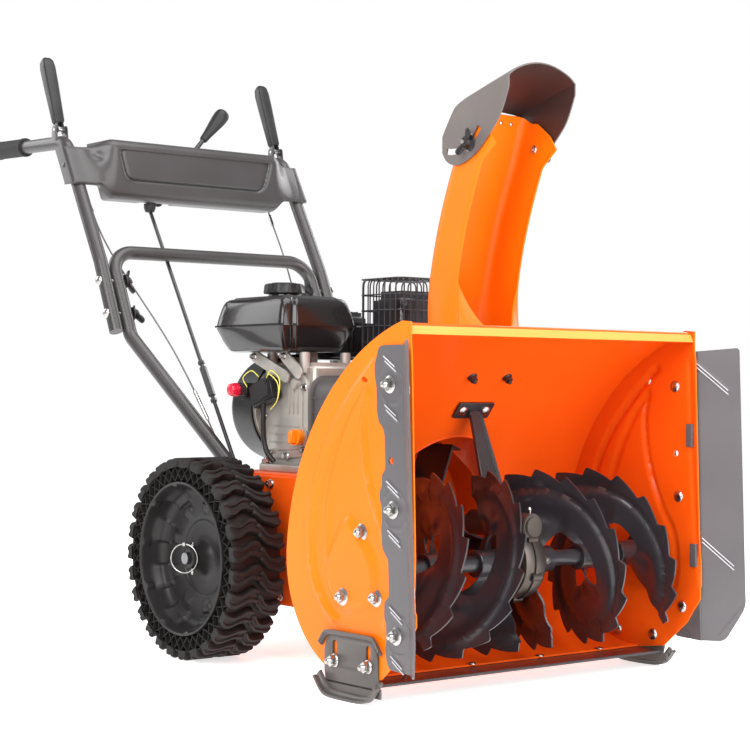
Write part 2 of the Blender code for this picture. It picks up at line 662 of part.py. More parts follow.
def make_hood():
    half = CHUTE_HALF_WIDTH + 0.0045
    stations = [(0.242, 0.822, 0.846), (0.230, 0.804, 0.866), (0.2135, 0.798, 0.8935),
                (0.190, 0.800, 0.9010), (0.160, 0.814, 0.9100), (0.130, 0.840, 0.9180),
                (0.105, 0.868, 0.9240), (0.087, 0.910, 0.9280)]
    rows, skip = [], set()
    arch_steps = 6
    for i, (distance, low, high) in enumerate(stations):
        forward = max(0.0, min((0.2135 - distance) / 0.1265, 1.0))
        crown = 0.004 + 0.018 * forward
        middle = (low + high) / 2
        row = [(-half, low), (-half, middle), (-half, high)]
        row += [(half * (2 * k / arch_steps - 1), high + crown * (1 - (2 * k / arch_steps - 1) ** 2))
                for k in range(1, arch_steps)]
        row += [(half, high), (half, middle), (half, low)]
        rows.append([(CHUTE_X + x, back(distance), z) for x, z in row])
        if i < 2:
            skip.update({(i, j) for j in range(2, 2 + arch_steps)})
    hood = sheet(rows, 0.0025, offset=0.0, skip=skip)
    hinge_y = back(HOOD_HINGE[0])
    slot_angles = (math.radians(-148), math.radians(-76))
    outer = arc((hinge_y, HOOD_HINGE[1]), HOOD_SLOT_RADIUS + 0.0055, *slot_angles, 6)
    inner = arc((hinge_y, HOOD_HINGE[1]), HOOD_SLOT_RADIUS - 0.0055, *slot_angles, 6)
    slot = plate(outer + inner[::-1], "YZ", CHUTE_X, 0.3)
    finish(cut(hood, slot), "chute_hood", "taupe_paint", "hood")


def make_hood_bolts():
    y, z = hood_bolt_place()
    for side, name in ((-1, "hood_wing_nut_right"), (1, "hood_wing_nut_left")):
        inside = CHUTE_X + side * (CHUTE_HALF_WIDTH - SHEET / 2 - GAP)
        outside = CHUTE_X + side * (CHUTE_HALF_WIDTH + 0.0045 + 0.00125 + GAP)
        stud = rod((inside - side * 0.003, y, z), (outside + side * 0.016, y, z), 0.0040, segments=12)
        head = rod((inside, y, z), (inside - side * 0.003, y, z), 0.0080, segments=12)
        washer = rod((outside, y, z), (outside + side * 0.010, y, z), 0.0110, 0.0090, segments=16)
        wings = block((min(outside + side * 0.006, outside + side * 0.016), y - 0.022, z - 0.004),
                      (max(outside + side * 0.006, outside + side * 0.016), y + 0.022, z + 0.004))
        finish(join(stud, head, washer, wings), name, "black_plastic", "chute")


def make_chute_keeper():
    """A ring under the drum's neck flange, with three clips that hold the turning chute down."""
    centre = (CHUTE_X, back(CHUTE_DISTANCE), CHUTE_BASE_Z)
    low = -0.0040 - SHEET
    keeper = turned([(CHUTE_RADIUS + 0.0012, low), (0.0870, low), (0.0870, -0.0039),
                     (CHUTE_RADIUS + 0.0012, -0.0039)], "Z", centre, steps=24)
    clips = []
    for degrees in (90, 200, 340):
        clip = block((0.0780, -0.011, low), (0.0950, 0.011, 0.0080))
        clip.data.transform(Matrix.Translation(centre) @ Matrix.Rotation(math.radians(degrees), 4, "Z"))
        clips.append(clip)
    groove = turned([(0.060, -0.0039), (0.0858, -0.0039), (0.0858, 0.0040), (0.060, 0.0040)],
                    "Z", centre, steps=24)
    finish(cut(join(keeper, *clips), groove), "chute_keeper", "black_plastic")


# ---------------------------------------------------------------- frame and wheel drive
def make_transmission_frame():
    outer = block((-FRAME_HALF, back(FRAME_FRONT), FRAME_LOW), (FRAME_HALF, back(FRAME_REAR), FRAME_TOP))
    inner = block((-FRAME_HALF + SHEET, back(FRAME_FRONT) + SHEET, FRAME_LOW + SHEET),
                  (FRAME_HALF - SHEET, back(FRAME_REAR) - SHEET, FRAME_TOP - SHEET))
    axle_y = back(WHEEL_DISTANCE)
    axle_hole = rod((-0.2, axle_y, WHEEL_RADIUS), (0.2, axle_y, WHEEL_RADIUS), AXLE_RADIUS + FINE)
    shaft_hole = rod((0, back(0.34), IMPELLER_Z), (0, back(0.37), IMPELLER_Z), 0.0200)
    belt_window = block((-0.080, back(0.372), FRAME_TOP - 0.02), (0.080, back(0.462), FRAME_TOP + 0.02))
    bearing_holes = rod((-0.2, back(0.5250), DISC_Z), (0.2, back(0.5250), DISC_Z), 0.0080)
    rod_x, rod_y = SHIFT_ROD_FOOT[0], SHIFT_ROD_FOOT[1] + 0.009
    rod_hole = rod((rod_x, rod_y, FRAME_TOP - 0.02), (rod_x, rod_y, FRAME_TOP + 0.02), 0.0180)
    finish(cut(outer, inner, axle_hole, shaft_hole, belt_window, bearing_holes, rod_hole),
           "transmission_frame", "orange_paint")


def make_wheel_drive():
    """Friction disc on its spindle, friction wheel on its hexagonal shaft."""
    disc = rod((0, back(0.4880), DISC_Z), (0, back(0.4940), DISC_Z), 0.068, segments=20)
    spindle = rod((0, back(0.4760), DISC_Z), (0, back(0.4960), DISC_Z), 0.0080)
    finish(join(disc, spindle), "friction_disc", "bare_steel", "drive_disc")
    wheel = rod((0.0240, back(0.5250), DISC_Z), (0.0360, back(0.5250), DISC_Z), 0.0290, segments=20)
    reach = FRAME_HALF + 0.003
    shaft = rod((-reach, back(0.5250), DISC_Z), (reach, back(0.5250), DISC_Z), 0.0075, segments=6)
    pinion = rod((-0.091, back(0.5250), DISC_Z), (-0.079, back(0.5250), DISC_Z), PINION_RADIUS, segments=20)
    finish(join(wheel, shaft, pinion), "friction_wheel", "bare_steel", "friction_wheel")


def make_wheels():
    axle_y = back(WHEEL_DISTANCE)
    centre = (0.0, axle_y, WHEEL_RADIUS)
    reach = WHEEL_OUTER_X - 0.012
    axle = rod((-reach, axle_y, WHEEL_RADIUS), (reach, axle_y, WHEEL_RADIUS), AXLE_RADIUS)
    pin_x = WHEEL_OUTER_X - 0.028
    holes = [rod((s * pin_x, axle_y, WHEEL_RADIUS - 0.03), (s * pin_x, axle_y, WHEEL_RADIUS + 0.03), 0.0034,
                 segments=10) for s in (-1, 1)]
    gear = rod((-0.091, axle_y, WHEEL_RADIUS), (-0.079, axle_y, WHEEL_RADIUS), GEAR_RADIUS, segments=20)
    finish(cut(join(axle, gear), *holes), "axle", "bare_steel", "wheels")
    inner_x = WHEEL_OUTER_X - WHEEL_WIDTH
    bore = AXLE_RADIUS + GAP
    rim_profile = [(bore, inner_x + 0.010), (0.020, inner_x + 0.010), (0.020, inner_x + 0.046),
                   (0.117, inner_x + 0.046), (0.117, inner_x + 0.006), (RIM_RADIUS, inner_x + 0.006),
                   (RIM_RADIUS, WHEEL_OUTER_X - 0.002), (0.117, WHEEL_OUTER_X - 0.002),
                   (0.117, inner_x + 0.052), (0.020, inner_x + 0.052), (0.020, WHEEL_OUTER_X - 0.018),
                   (bore, WHEEL_OUTER_X - 0.018)]
    lugs = 18
    outline = []
    for i in range(lugs):
        for part, radius in ((-0.22, 1.0), (0.0, 1.0), (0.22, 1.0), (0.34, 0.945), (0.66, 0.945)):
            angle = -math.pi / 2 + math.tau * (i + part) / lugs
            outline.append((axle_y + WHEEL_RADIUS * radius * math.cos(angle),
                            WHEEL_RADIUS + WHEEL_RADIUS * radius * math.sin(angle)))
    for side, word in ((-1, "right"), (1, "left")):
        rim = turned([(r, side * x) for r, x in rim_profile], "X", centre, steps=24)
        pin_hole = rod((side * pin_x, axle_y, WHEEL_RADIUS - 0.04),
                       (side * pin_x, axle_y, WHEEL_RADIUS + 0.04), 0.0034, segments=10)
        finish(cut(rim, pin_hole), "wheel_rim_" + word, "rim_plastic", "wheels")
        tyre = plate(outline, "YZ", side * (WHEEL_OUTER_X - WHEEL_WIDTH / 2), WHEEL_WIDTH,
                     holes=[circle((axle_y, WHEEL_RADIUS), RIM_RADIUS + 0.0012, 24)])
        finish(tyre, "tyre_" + word, "tyre_rubber", "wheels")
        pin = rod((side * pin_x, axle_y, WHEEL_RADIUS - 0.0255),
                  (side * pin_x, axle_y, WHEEL_RADIUS + 0.0255), 0.0026, segments=10)
        hoop_x = side * (WHEEL_OUTER_X - 0.009)
        ring = [(hoop_x, y, z) for y, z in circle((axle_y, WHEEL_RADIUS), 0.0235, 14)]
        hoop = tube(ring, 0.0016, resolution=1, closed=True)
        link = tube([(side * pin_x, axle_y, WHEEL_RADIUS + 0.0240),
                     (hoop_x, axle_y, WHEEL_RADIUS + 0.0240)], 0.0016, resolution=1)
        finish(join(pin, link, hoop), "klick_pin_" + word, "zinc", "wheels")


# ---------------------------------------------------------------- engine
def make_engine():
    base = FRAME_TOP + GAP
    crankcase = block((-0.078, back(0.492), base), (0.070, back(0.640), 0.488), bevel=0.010)
    cylinder = block((0.050, back(0.505), 0.372), (0.160, back(0.625), 0.492), bevel=0.008)
    head = block((0.155, back(0.512), 0.382), (0.200, back(0.618), 0.482), bevel=0.008)
    foot = block((-0.095, back(0.480), base), (0.090, back(0.620), base + 0.012))
    control = block((-0.106, back(0.548), 0.392), (-0.070, back(0.632), 0.452), bevel=0.004)
    arm = block((-0.106, back(0.625), 0.425), (-0.1005, back(0.684), 0.456))
    posts = [block((x - 0.010, back(d) - 0.010, 0.470), (x + 0.010, back(d) + 0.010, 0.5056))
             for x in (-0.068, 0.018) for d in (0.520, 0.615)]
    engine = join(crankcase, cylinder, head, foot, control, arm, *posts)
    bore = rod((0, back(0.44), CRANK_Z), (0, back(0.70), CRANK_Z), SHAFT_RADIUS + FINE)
    well_y, well_z = BODY_PIVOTS["dipstick"][1:]
    well = rod((-0.120, well_y, well_z), (-0.050, well_y, well_z), 0.0085, segments=14)
    finish(cut(engine, bore, well), "engine_block", "cast_aluminium")
    shaft = rod((0, back(0.392), CRANK_Z), (0, back(0.690), CRANK_Z), SHAFT_RADIUS)
    pulley = rod((0, back(0.403), CRANK_Z), (0, back(0.452), CRANK_Z), 0.0360)
    flywheel = rod((0, back(0.656), CRANK_Z), (0, back(0.676), CRANK_Z), 0.0800, segments=20)
    finish(join(shaft, pulley, flywheel), "crankshaft", "bare_steel", "engine_crank")
    cover = turned([(0.0, 0.084), (0.055, 0.084), (0.082, 0.076), (0.0935, 0.058), (0.0945, 0.0),
                    (0.0915, 0.0), (0.0905, 0.056), (0.080, 0.073), (0.054, 0.081), (0.0, 0.081)],
                   "Y", (0.0, back(0.6404), CRANK_Z), steps=24)
    hole = rod((-0.045, back(0.70), 0.430), (-0.045, back(0.76), 0.430), 0.0075, segments=12)
    finish(cut(cover, hole), "recoil_cover", "gloss_black")


def make_engine_fittings():
    low, high = (-0.135, back(0.493), 0.506), (0.035, back(0.720), 0.602)
    tank = block(low, high, bevel=0.022)
    inner = block([v + 0.0035 for v in low], [v - 0.0035 for v in high], bevel=0.019)
    cap_x, cap_y = BODY_PIVOTS["tank_cap"][:2]
    neck = rod((cap_x, cap_y, 0.598), (cap_x, cap_y, 0.6075), 0.0270)
    filler = rod((cap_x, cap_y, 0.590), (cap_x, cap_y, 0.62), 0.0200)
    finish(cut(join(tank, neck), inner, filler), "fuel_tank", "gloss_black")
    cap = rod((cap_x, cap_y, 0.6079), (cap_x, cap_y, 0.6270), 0.0360, 0.0330, segments=16)
    stem = rod((cap_x, cap_y, 0.5960), (cap_x, cap_y, 0.6100), 0.0185)
    finish(join(cap, stem), "tank_cap", "black_plastic", "tank_cap")
    x, y, z = BODY_PIVOTS["dipstick"]
    stick = rod((-0.058, y, z), (-0.093, y, z), 0.0070, segments=12)
    knob = block((-0.106, y - 0.0055, z - 0.012), (-0.0925, y + 0.0055, z + 0.012))
    flange = rod((-0.0784, y, z), (-0.094, y, z), 0.0135, segments=16)
    finish(join(stick, flange, knob), "dipstick", "orange_plastic", "dipstick")
    x, y, z = BODY_PIVOTS["stop_switch"]
    button = rod((-0.1064, y, z), (-0.122, y, z), 0.0125, 0.0110, segments=8)
    finish(button, "stop_switch", "red_plastic", "stop_switch")
    x, y, z = BODY_PIVOTS["starter_grip"]
    grip = block((x - 0.020, back(0.7262), z - 0.010), (x + 0.020, back(0.742), z + 0.010), bevel=0.003)
    rope = rod((x, back(0.682), z), (x, back(0.730), z), 0.0025, segments=8)
    finish(join(grip, rope), "starter_grip", "black_plastic", "starter_grip")
    muffler = block((0.062, back(0.424), 0.500), (0.160, back(0.514), 0.612), bevel=0.016)
    finish(muffler, "muffler", "black_steel")
    guard_low, guard_high = (0.050, back(0.412), 0.4960), (0.172, back(0.526), 0.634)
    guard = block(guard_low, guard_high)
    room = block((0.053, back(0.415), 0.480), (0.169, back(0.523), 0.631))
    windows = [block((0.064, back(0.40), 0.520), (0.158, back(0.54), 0.618)),
               block((0.03, back(0.426), 0.520), (0.19, back(0.512), 0.618)),
               block((0.064, back(0.426), 0.62), (0.158, back(0.512), 0.65))]
    finish(cut(guard, room, *windows), "muffler_guard", "black_steel")
    intake = block((0.046, back(0.632), 0.496), (0.160, back(0.712), 0.585), bevel=0.010)
    horn = block((0.060, back(0.560), 0.500), (0.150, back(0.640), 0.560), bevel=0.008)
    finish(join(intake, horn), "carburettor_cover", "black_plastic")


def make_belts():
    cover = block((-0.092, back(0.3640), FRAME_TOP + GAP), (0.092, back(0.474), 0.466), bevel=0.012)
    room = block((-0.088, back(0.3680), 0.25), (0.088, back(0.470), 0.462), bevel=0.010)
    shaft = rod((0, back(0.40), CRANK_Z), (0, back(0.50), CRANK_Z), 0.0160)
    finish(cut(cover, room, shaft), "belt_cover", "grey_plastic")
    for name, y, low_z, low_r, high_r in (("auger_belt", back(0.427), IMPELLER_Z, 0.0862, 0.0372),
                                          ("drive_belt", back(0.4453), DISC_Z + 0.075, 0.0120, 0.0372)):
        outer = belt_outline(low_z, low_r + 0.006, high_r + 0.006)
        inner = belt_outline(low_z, low_r, high_r)
        finish(plate(outer, "XZ", -y, 0.008, holes=[inner]), name, "belt_rubber")


def belt_outline(low_z, low_r, high_r):
    slope = math.asin((low_r - high_r) / (CRANK_Z - low_z))
    top = arc((0.0, CRANK_Z), high_r, slope, math.pi - slope, 12)
    bottom = arc((0.0, low_z), low_r, math.pi - slope, math.tau + slope, 14)
    return top + bottom


# ---------------------------------------------------------------- handlebars and controls
def handle_line(z):
    """Distance of the handle tubes at a height above their bend."""
    return 0.851 + (z - 0.561) * 0.0495 / 0.109 if z < 0.67 else 0.9005 + (z - 0.67) * 0.575


def make_handles():
    foot_x = FRAME_HALF + TUBE_RADIUS + GAP
    half = [(foot_x, back(0.500), 0.225), (foot_x, back(0.610), 0.318), (LOWER_TUBE_X, back(0.838), 0.535),
            (LOWER_TUBE_X, back(handle_line(0.690)), 0.690)]
    route = [(-x, y, z) for x, y, z in half] + half[::-1]
    finish(tube(rounded_path(route, 0.045), TUBE_RADIUS, 2), "lower_handle", "taupe_paint")
    x, bend_z = UPPER_TUBE_X, 0.8990
    bend_distance = handle_line(bend_z)
    route = [(x, back(0.843), 0.5430), (x, back(0.9005), 0.670), (x, back(bend_distance), bend_z),
             (x, back(1.305), 0.9100)]
    left = tube(rounded_path(route, 0.035), TUBE_RADIUS, 2)
    bolts = []
    for z in (0.576, 0.635):
        y = back(handle_line(z))
        bolts.append(rod((x, y, z), (x + TUBE_RADIUS + 0.006, y, z), 0.0090, segments=8))
    pivot_y, pivot_z = back(LEVER_PIVOT[0]), LEVER_PIVOT[1]
    for side in (-1, 1):
        ear = [(pivot_y - 0.012, 0.900), (pivot_y + 0.012, 0.900), (pivot_y + 0.008, pivot_z + 0.008),
               (pivot_y - 0.008, pivot_z + 0.008)]
        bolts.append(plate(ear, "YZ", x + side * 0.0110, 0.0022))
    bolts.append(rod((x - 0.0125, pivot_y, pivot_z), (x + 0.0125, pivot_y, pivot_z), 0.0030, segments=10))
    left = join(left, *bolts)
    finish(mirrored(left, "upper_handle_right"), "upper_handle_right", "taupe_paint")
    finish(left, "upper_handle_left", "taupe_paint")
    grip_profile = [(TUBE_RADIUS + GAP, 0.0), (0.0170, 0.0), (0.0180, 0.006), (0.0165, 0.030),
                    (0.0165, 0.100), (0.0180, 0.112), (0.0160, 0.1165), (0.0, 0.1165), (0.0, 0.1140),
                    (TUBE_RADIUS + GAP, 0.1140)]
    tilt = math.atan2(0.0110, 1.305 - handle_line(0.8990))
    for side, word in ((-1, "right"), (1, "left")):
        grip = turned(grip_profile, "Y", (0, 0, 0), steps=16)
        grip.data.transform(Matrix.Translation((side * x, back(1.1913), 0.9100 - 0.1137 * math.sin(tilt)))
                            @ Matrix.Rotation(tilt, 4, "X"))
        finish(grip, "grip_" + word, "grip_rubber")


def make_dashboard():
    body = block((-0.2120, back(0.962), 0.788), (0.2120, back(1.062), 0.905), bevel=0.020)
    room = block((-0.2090, back(0.9650), 0.791), (0.2090, back(1.10), 0.902), bevel=0.018)
    slot = block((-0.105, back(1.003), 0.88), (0.105, back(1.027), 0.93))
    lower_slot = block((-0.110, back(0.995), 0.77), (-0.040, back(1.035), 0.82))
    body = cut(body, room, slot, lower_slot)
    for side in (-1, 1):
        inner, outer = side * 0.2100, side * 0.2625
        rows = []
        for z in (0.815, 0.889):
            face = back(handle_line(z) - 0.0195)
            rows.append([(inner, face, z), (outer, face, z), (outer + side * 0.0015, face + 0.006, z),
                         (outer + side * 0.0015, face + 0.034, z)])
        body = join(body, sheet(rows, 0.003))
    finish(body, "dashboard", "taupe_paint")


def make_controls():
    pivot_y, pivot_z = back(LEVER_PIVOT[0]), LEVER_PIVOT[1]
    length, width = 0.153, 0.0150
    upright = math.atan2(1.065 - LEVER_PIVOT[1], 1.113 - LEVER_PIVOT[0])
    for side, name in ((-1, "auger_lever"), (1, "drive_lever")):
        outline = [(-0.006, -0.0060), (0.010, -0.0085), (0.060, -0.0065), (length - 0.008, -0.0085),
                   (length, -0.003), (length, 0.004), (length - 0.008, 0.0085), (0.060, 0.0065),
                   (0.010, 0.0085), (-0.006, 0.0060)]
        points = []
        for along, across in outline:
            points.append((pivot_y + along * math.cos(upright) - across * math.sin(upright),
                           pivot_z + along * math.sin(upright) + across * math.cos(upright)))
        lever = plate(points, "YZ", side * UPPER_TUBE_X, width,
                      holes=[circle((pivot_y, pivot_z), 0.0036, 12)])
        finish(lever, name, "black_steel", name)


def make_shift():
    x, y, z = BODY_PIVOTS["shift_lever"]
    direction = Vector((math.sin(SHIFT_TILT), 0.0, math.cos(SHIFT_TILT)))
    pivot = Vector((x, y, z))
    stick = tube([pivot, pivot + direction * 0.175], 0.0045, 1)
    knob = rod(pivot + direction * 0.165, pivot + direction * 0.243, 0.0085, 0.0165, segments=14)
    boss = rod((x, y - 0.010, z), (x, y + 0.010, z), 0.0110, segments=16)
    arm = block((x - 0.016, y - 0.002, z - 0.004), (x, y + 0.002, z + 0.004))
    finish(join(stick, boss, arm, knob), "shift_lever", "black_plastic", "shift_lever")
    top = Vector((x - 0.0200, y, z))
    foot = Vector(SHIFT_ROD_FOOT)
    along = (foot - top).normalized()
    wire = tube([top + along * 0.004, foot], 0.0035, 1)
    sleeve = rod(top.lerp(foot, 0.62), top.lerp(foot, 0.72), 0.0065, segments=6)
    finish(join(wire, sleeve), "shift_rod", "black_steel", "shift_rod")


def make_clutch_cables():
    """Thin wires from the levers' brackets down to the frame, held at both ends."""
    for side, name in ((-1, "clutch_cable_right"), (1, "clutch_cable_left")):
        points = [(side * x, back(distance), z) for x, distance, z in CABLE_ROUTE]
        finish(tube(points, 0.0022, 1), name, "black_steel")


make_housing()
make_mirrored_pairs()
make_drum()
make_scraper_and_supports()
make_gearbox()
make_auger()
make_impeller()
make_chute()
make_hood()
make_hood_bolts()
make_chute_keeper()
make_transmission_frame()
make_wheel_drive()
make_wheels()
make_engine()
make_engine_fittings()
make_belts()
make_handles()
make_dashboard()
make_controls()
make_shift()
make_clutch_cables()
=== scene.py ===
"""Looks of the two stage snowblower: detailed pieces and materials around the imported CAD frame."""
import json
import math

import bmesh
import bpy
from mathutils import Matrix, Vector, geometry


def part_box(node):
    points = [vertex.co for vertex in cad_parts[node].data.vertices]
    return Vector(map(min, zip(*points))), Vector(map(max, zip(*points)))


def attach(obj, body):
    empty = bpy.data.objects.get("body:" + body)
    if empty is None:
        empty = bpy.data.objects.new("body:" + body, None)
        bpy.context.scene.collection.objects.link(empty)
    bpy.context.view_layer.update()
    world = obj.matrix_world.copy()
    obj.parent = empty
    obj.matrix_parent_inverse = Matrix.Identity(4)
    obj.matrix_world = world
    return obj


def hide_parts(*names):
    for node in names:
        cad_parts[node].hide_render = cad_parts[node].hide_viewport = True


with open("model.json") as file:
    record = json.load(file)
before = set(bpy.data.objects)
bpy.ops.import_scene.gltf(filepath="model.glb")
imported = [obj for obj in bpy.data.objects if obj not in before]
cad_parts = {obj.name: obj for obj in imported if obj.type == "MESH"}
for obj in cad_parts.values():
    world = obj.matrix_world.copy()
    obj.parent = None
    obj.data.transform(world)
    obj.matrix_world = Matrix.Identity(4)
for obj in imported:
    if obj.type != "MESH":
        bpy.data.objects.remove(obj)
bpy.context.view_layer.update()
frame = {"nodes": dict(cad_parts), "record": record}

# ---------------------------------------------------------------- dimensions, in metres, as in the CAD
COLUMN_Y = -0.6013            # front bolt column; distances are measured back from it
HALF_WIDTH = 0.29
SHEET = 0.003
BOWL_DISTANCE, BOWL_Z, BOWL_RADIUS = 0.09, 0.195, 0.163
ROOF_RADIUS = 0.37
ROOF_START, ROOF_END = math.radians(5), math.radians(74)
LIP_DISTANCE = -0.03
COLUMN_LEAN, COLUMN_MIDDLE_Z = 0.0465, 0.276
AUGER_DISTANCE, AUGER_Z, AUGER_RADIUS, AUGER_PITCH = 0.077, 0.183, 0.139, 0.22
SHAFT_RADIUS = 0.0125
IMPELLER_Z, IMPELLER_RADIUS, DRUM_RADIUS, DRUM_BACK = 0.238, 0.124, 0.135, 0.358
CHUTE_X, CHUTE_DISTANCE, CHUTE_RADIUS, CHUTE_BASE_Z = 0.07, 0.2427, 0.0735, 0.45
CHUTE_HALF_WIDTH, CHUTE_DEPTH = 0.066, 0.077
HOOD_HINGE, HOOD_SLOT_RADIUS = (0.2135, 0.8905), 0.071
WHEEL_DISTANCE, WHEEL_RADIUS, WHEEL_WIDTH, WHEEL_OUTER_X = 0.5625, 0.165, 0.1, 0.29
RIM_RADIUS = 0.1255
CRANK_Z = 0.41
TUBE_RADIUS, LOWER_TUBE_X, UPPER_TUBE_X = 0.0125, 0.219, 0.2455
FRAME_TOP = 0.302
LEVER_PIVOT = (1.056, 0.924)
WING_BOLTS = (0.102, 0.276, 0.45)
BEARING_BOLTS = ((0.075, 0.24), (0.041, 0.15), (0.111, 0.146))
SHOE_BOLTS, SHOE_BOLT_Z = (0.054, 0.132), 0.052
SIDES = ((-1, "right"), (1, "left"))


def back(distance):
    """Y of a point at a distance behind the front bolt column."""
    return COLUMN_Y + distance


def lean(z):
    """How far the front edge of the housing stands back at a height."""
    return COLUMN_LEAN * (z - COLUMN_MIDDLE_Z)


BOWL = (back(BOWL_DISTANCE), BOWL_Z)
ROOF = (BOWL[0] - (ROOF_RADIUS - BOWL_RADIUS) * math.cos(ROOF_START),
        BOWL_Z - (ROOF_RADIUS - BOWL_RADIUS) * math.sin(ROOF_START))
ROOF_TOP = ROOF[1] + ROOF_RADIUS * math.sin(ROOF_END)


# ---------------------------------------------------------------- materials
def node(tree, kind, **values):
    """Add a shader node; values set its properties, or the sockets of that name."""
    made = tree.nodes.new(kind)
    for name, value in values.items():
        if hasattr(made, name):
            setattr(made, name, value)
        else:
            made.inputs[name.replace("_", " ")].default_value = value
    return made


def surface(name, dark, light, roughness, metallic=0.0, coat=0.0, patch=9.0, grain=700.0, bump=0.15,
            depth=0.0002, rough_spread=0.06, specular=0.5, stretch=(1.0, 1.0, 1.0)):
    """A procedural finish: colour drifts between dark and light in patches, with a fine grain."""
    material = bpy.data.materials.new(name)
    material.use_nodes = True
    tree = material.node_tree
    shader = tree.nodes["Principled BSDF"]
    shader.inputs["Metallic"].default_value = metallic
    shader.inputs["Coat Weight"].default_value = coat
    shader.inputs["Coat Roughness"].default_value = 0.06
    shader.inputs["Specular IOR Level"].default_value = specular
    place = node(tree, "ShaderNodeTexCoord")
    scale = node(tree, "ShaderNodeMapping")
    scale.inputs["Scale"].default_value = stretch
    tree.links.new(place.outputs["Object"], scale.inputs["Vector"])
    drift = node(tree, "ShaderNodeTexNoise", Scale=patch, Detail=4.0)
    tree.links.new(scale.outputs["Vector"], drift.inputs["Vector"])
    colours = node(tree, "ShaderNodeValToRGB")
    colours.color_ramp.elements[0].position = 0.32
    colours.color_ramp.elements[0].color = (*dark, 1.0)
    colours.color_ramp.elements[1].position = 0.68
    colours.color_ramp.elements[1].color = (*light, 1.0)
    tree.links.new(drift.outputs["Fac"], colours.inputs["Fac"])
    tree.links.new(colours.outputs["Color"], shader.inputs["Base Color"])
    fine = node(tree, "ShaderNodeTexNoise", Scale=grain, Detail=3.0)
    tree.links.new(scale.outputs["Vector"], fine.inputs["Vector"])
    spread = node(tree, "ShaderNodeMapRange")
    spread.inputs["To Min"].default_value = max(0.02, roughness - rough_spread)
    spread.inputs["To Max"].default_value = min(1.0, roughness + rough_spread)
    tree.links.new(drift.outputs["Fac"], spread.inputs["Value"])
    tree.links.new(spread.outputs["Result"], shader.inputs["Roughness"])
    relief_node = node(tree, "ShaderNodeBump", Strength=bump, Distance=depth)
    tree.links.new(fine.outputs["Fac"], relief_node.inputs["Height"])
    tree.links.new(relief_node.outputs["Normal"], shader.inputs["Normal"])
    return material


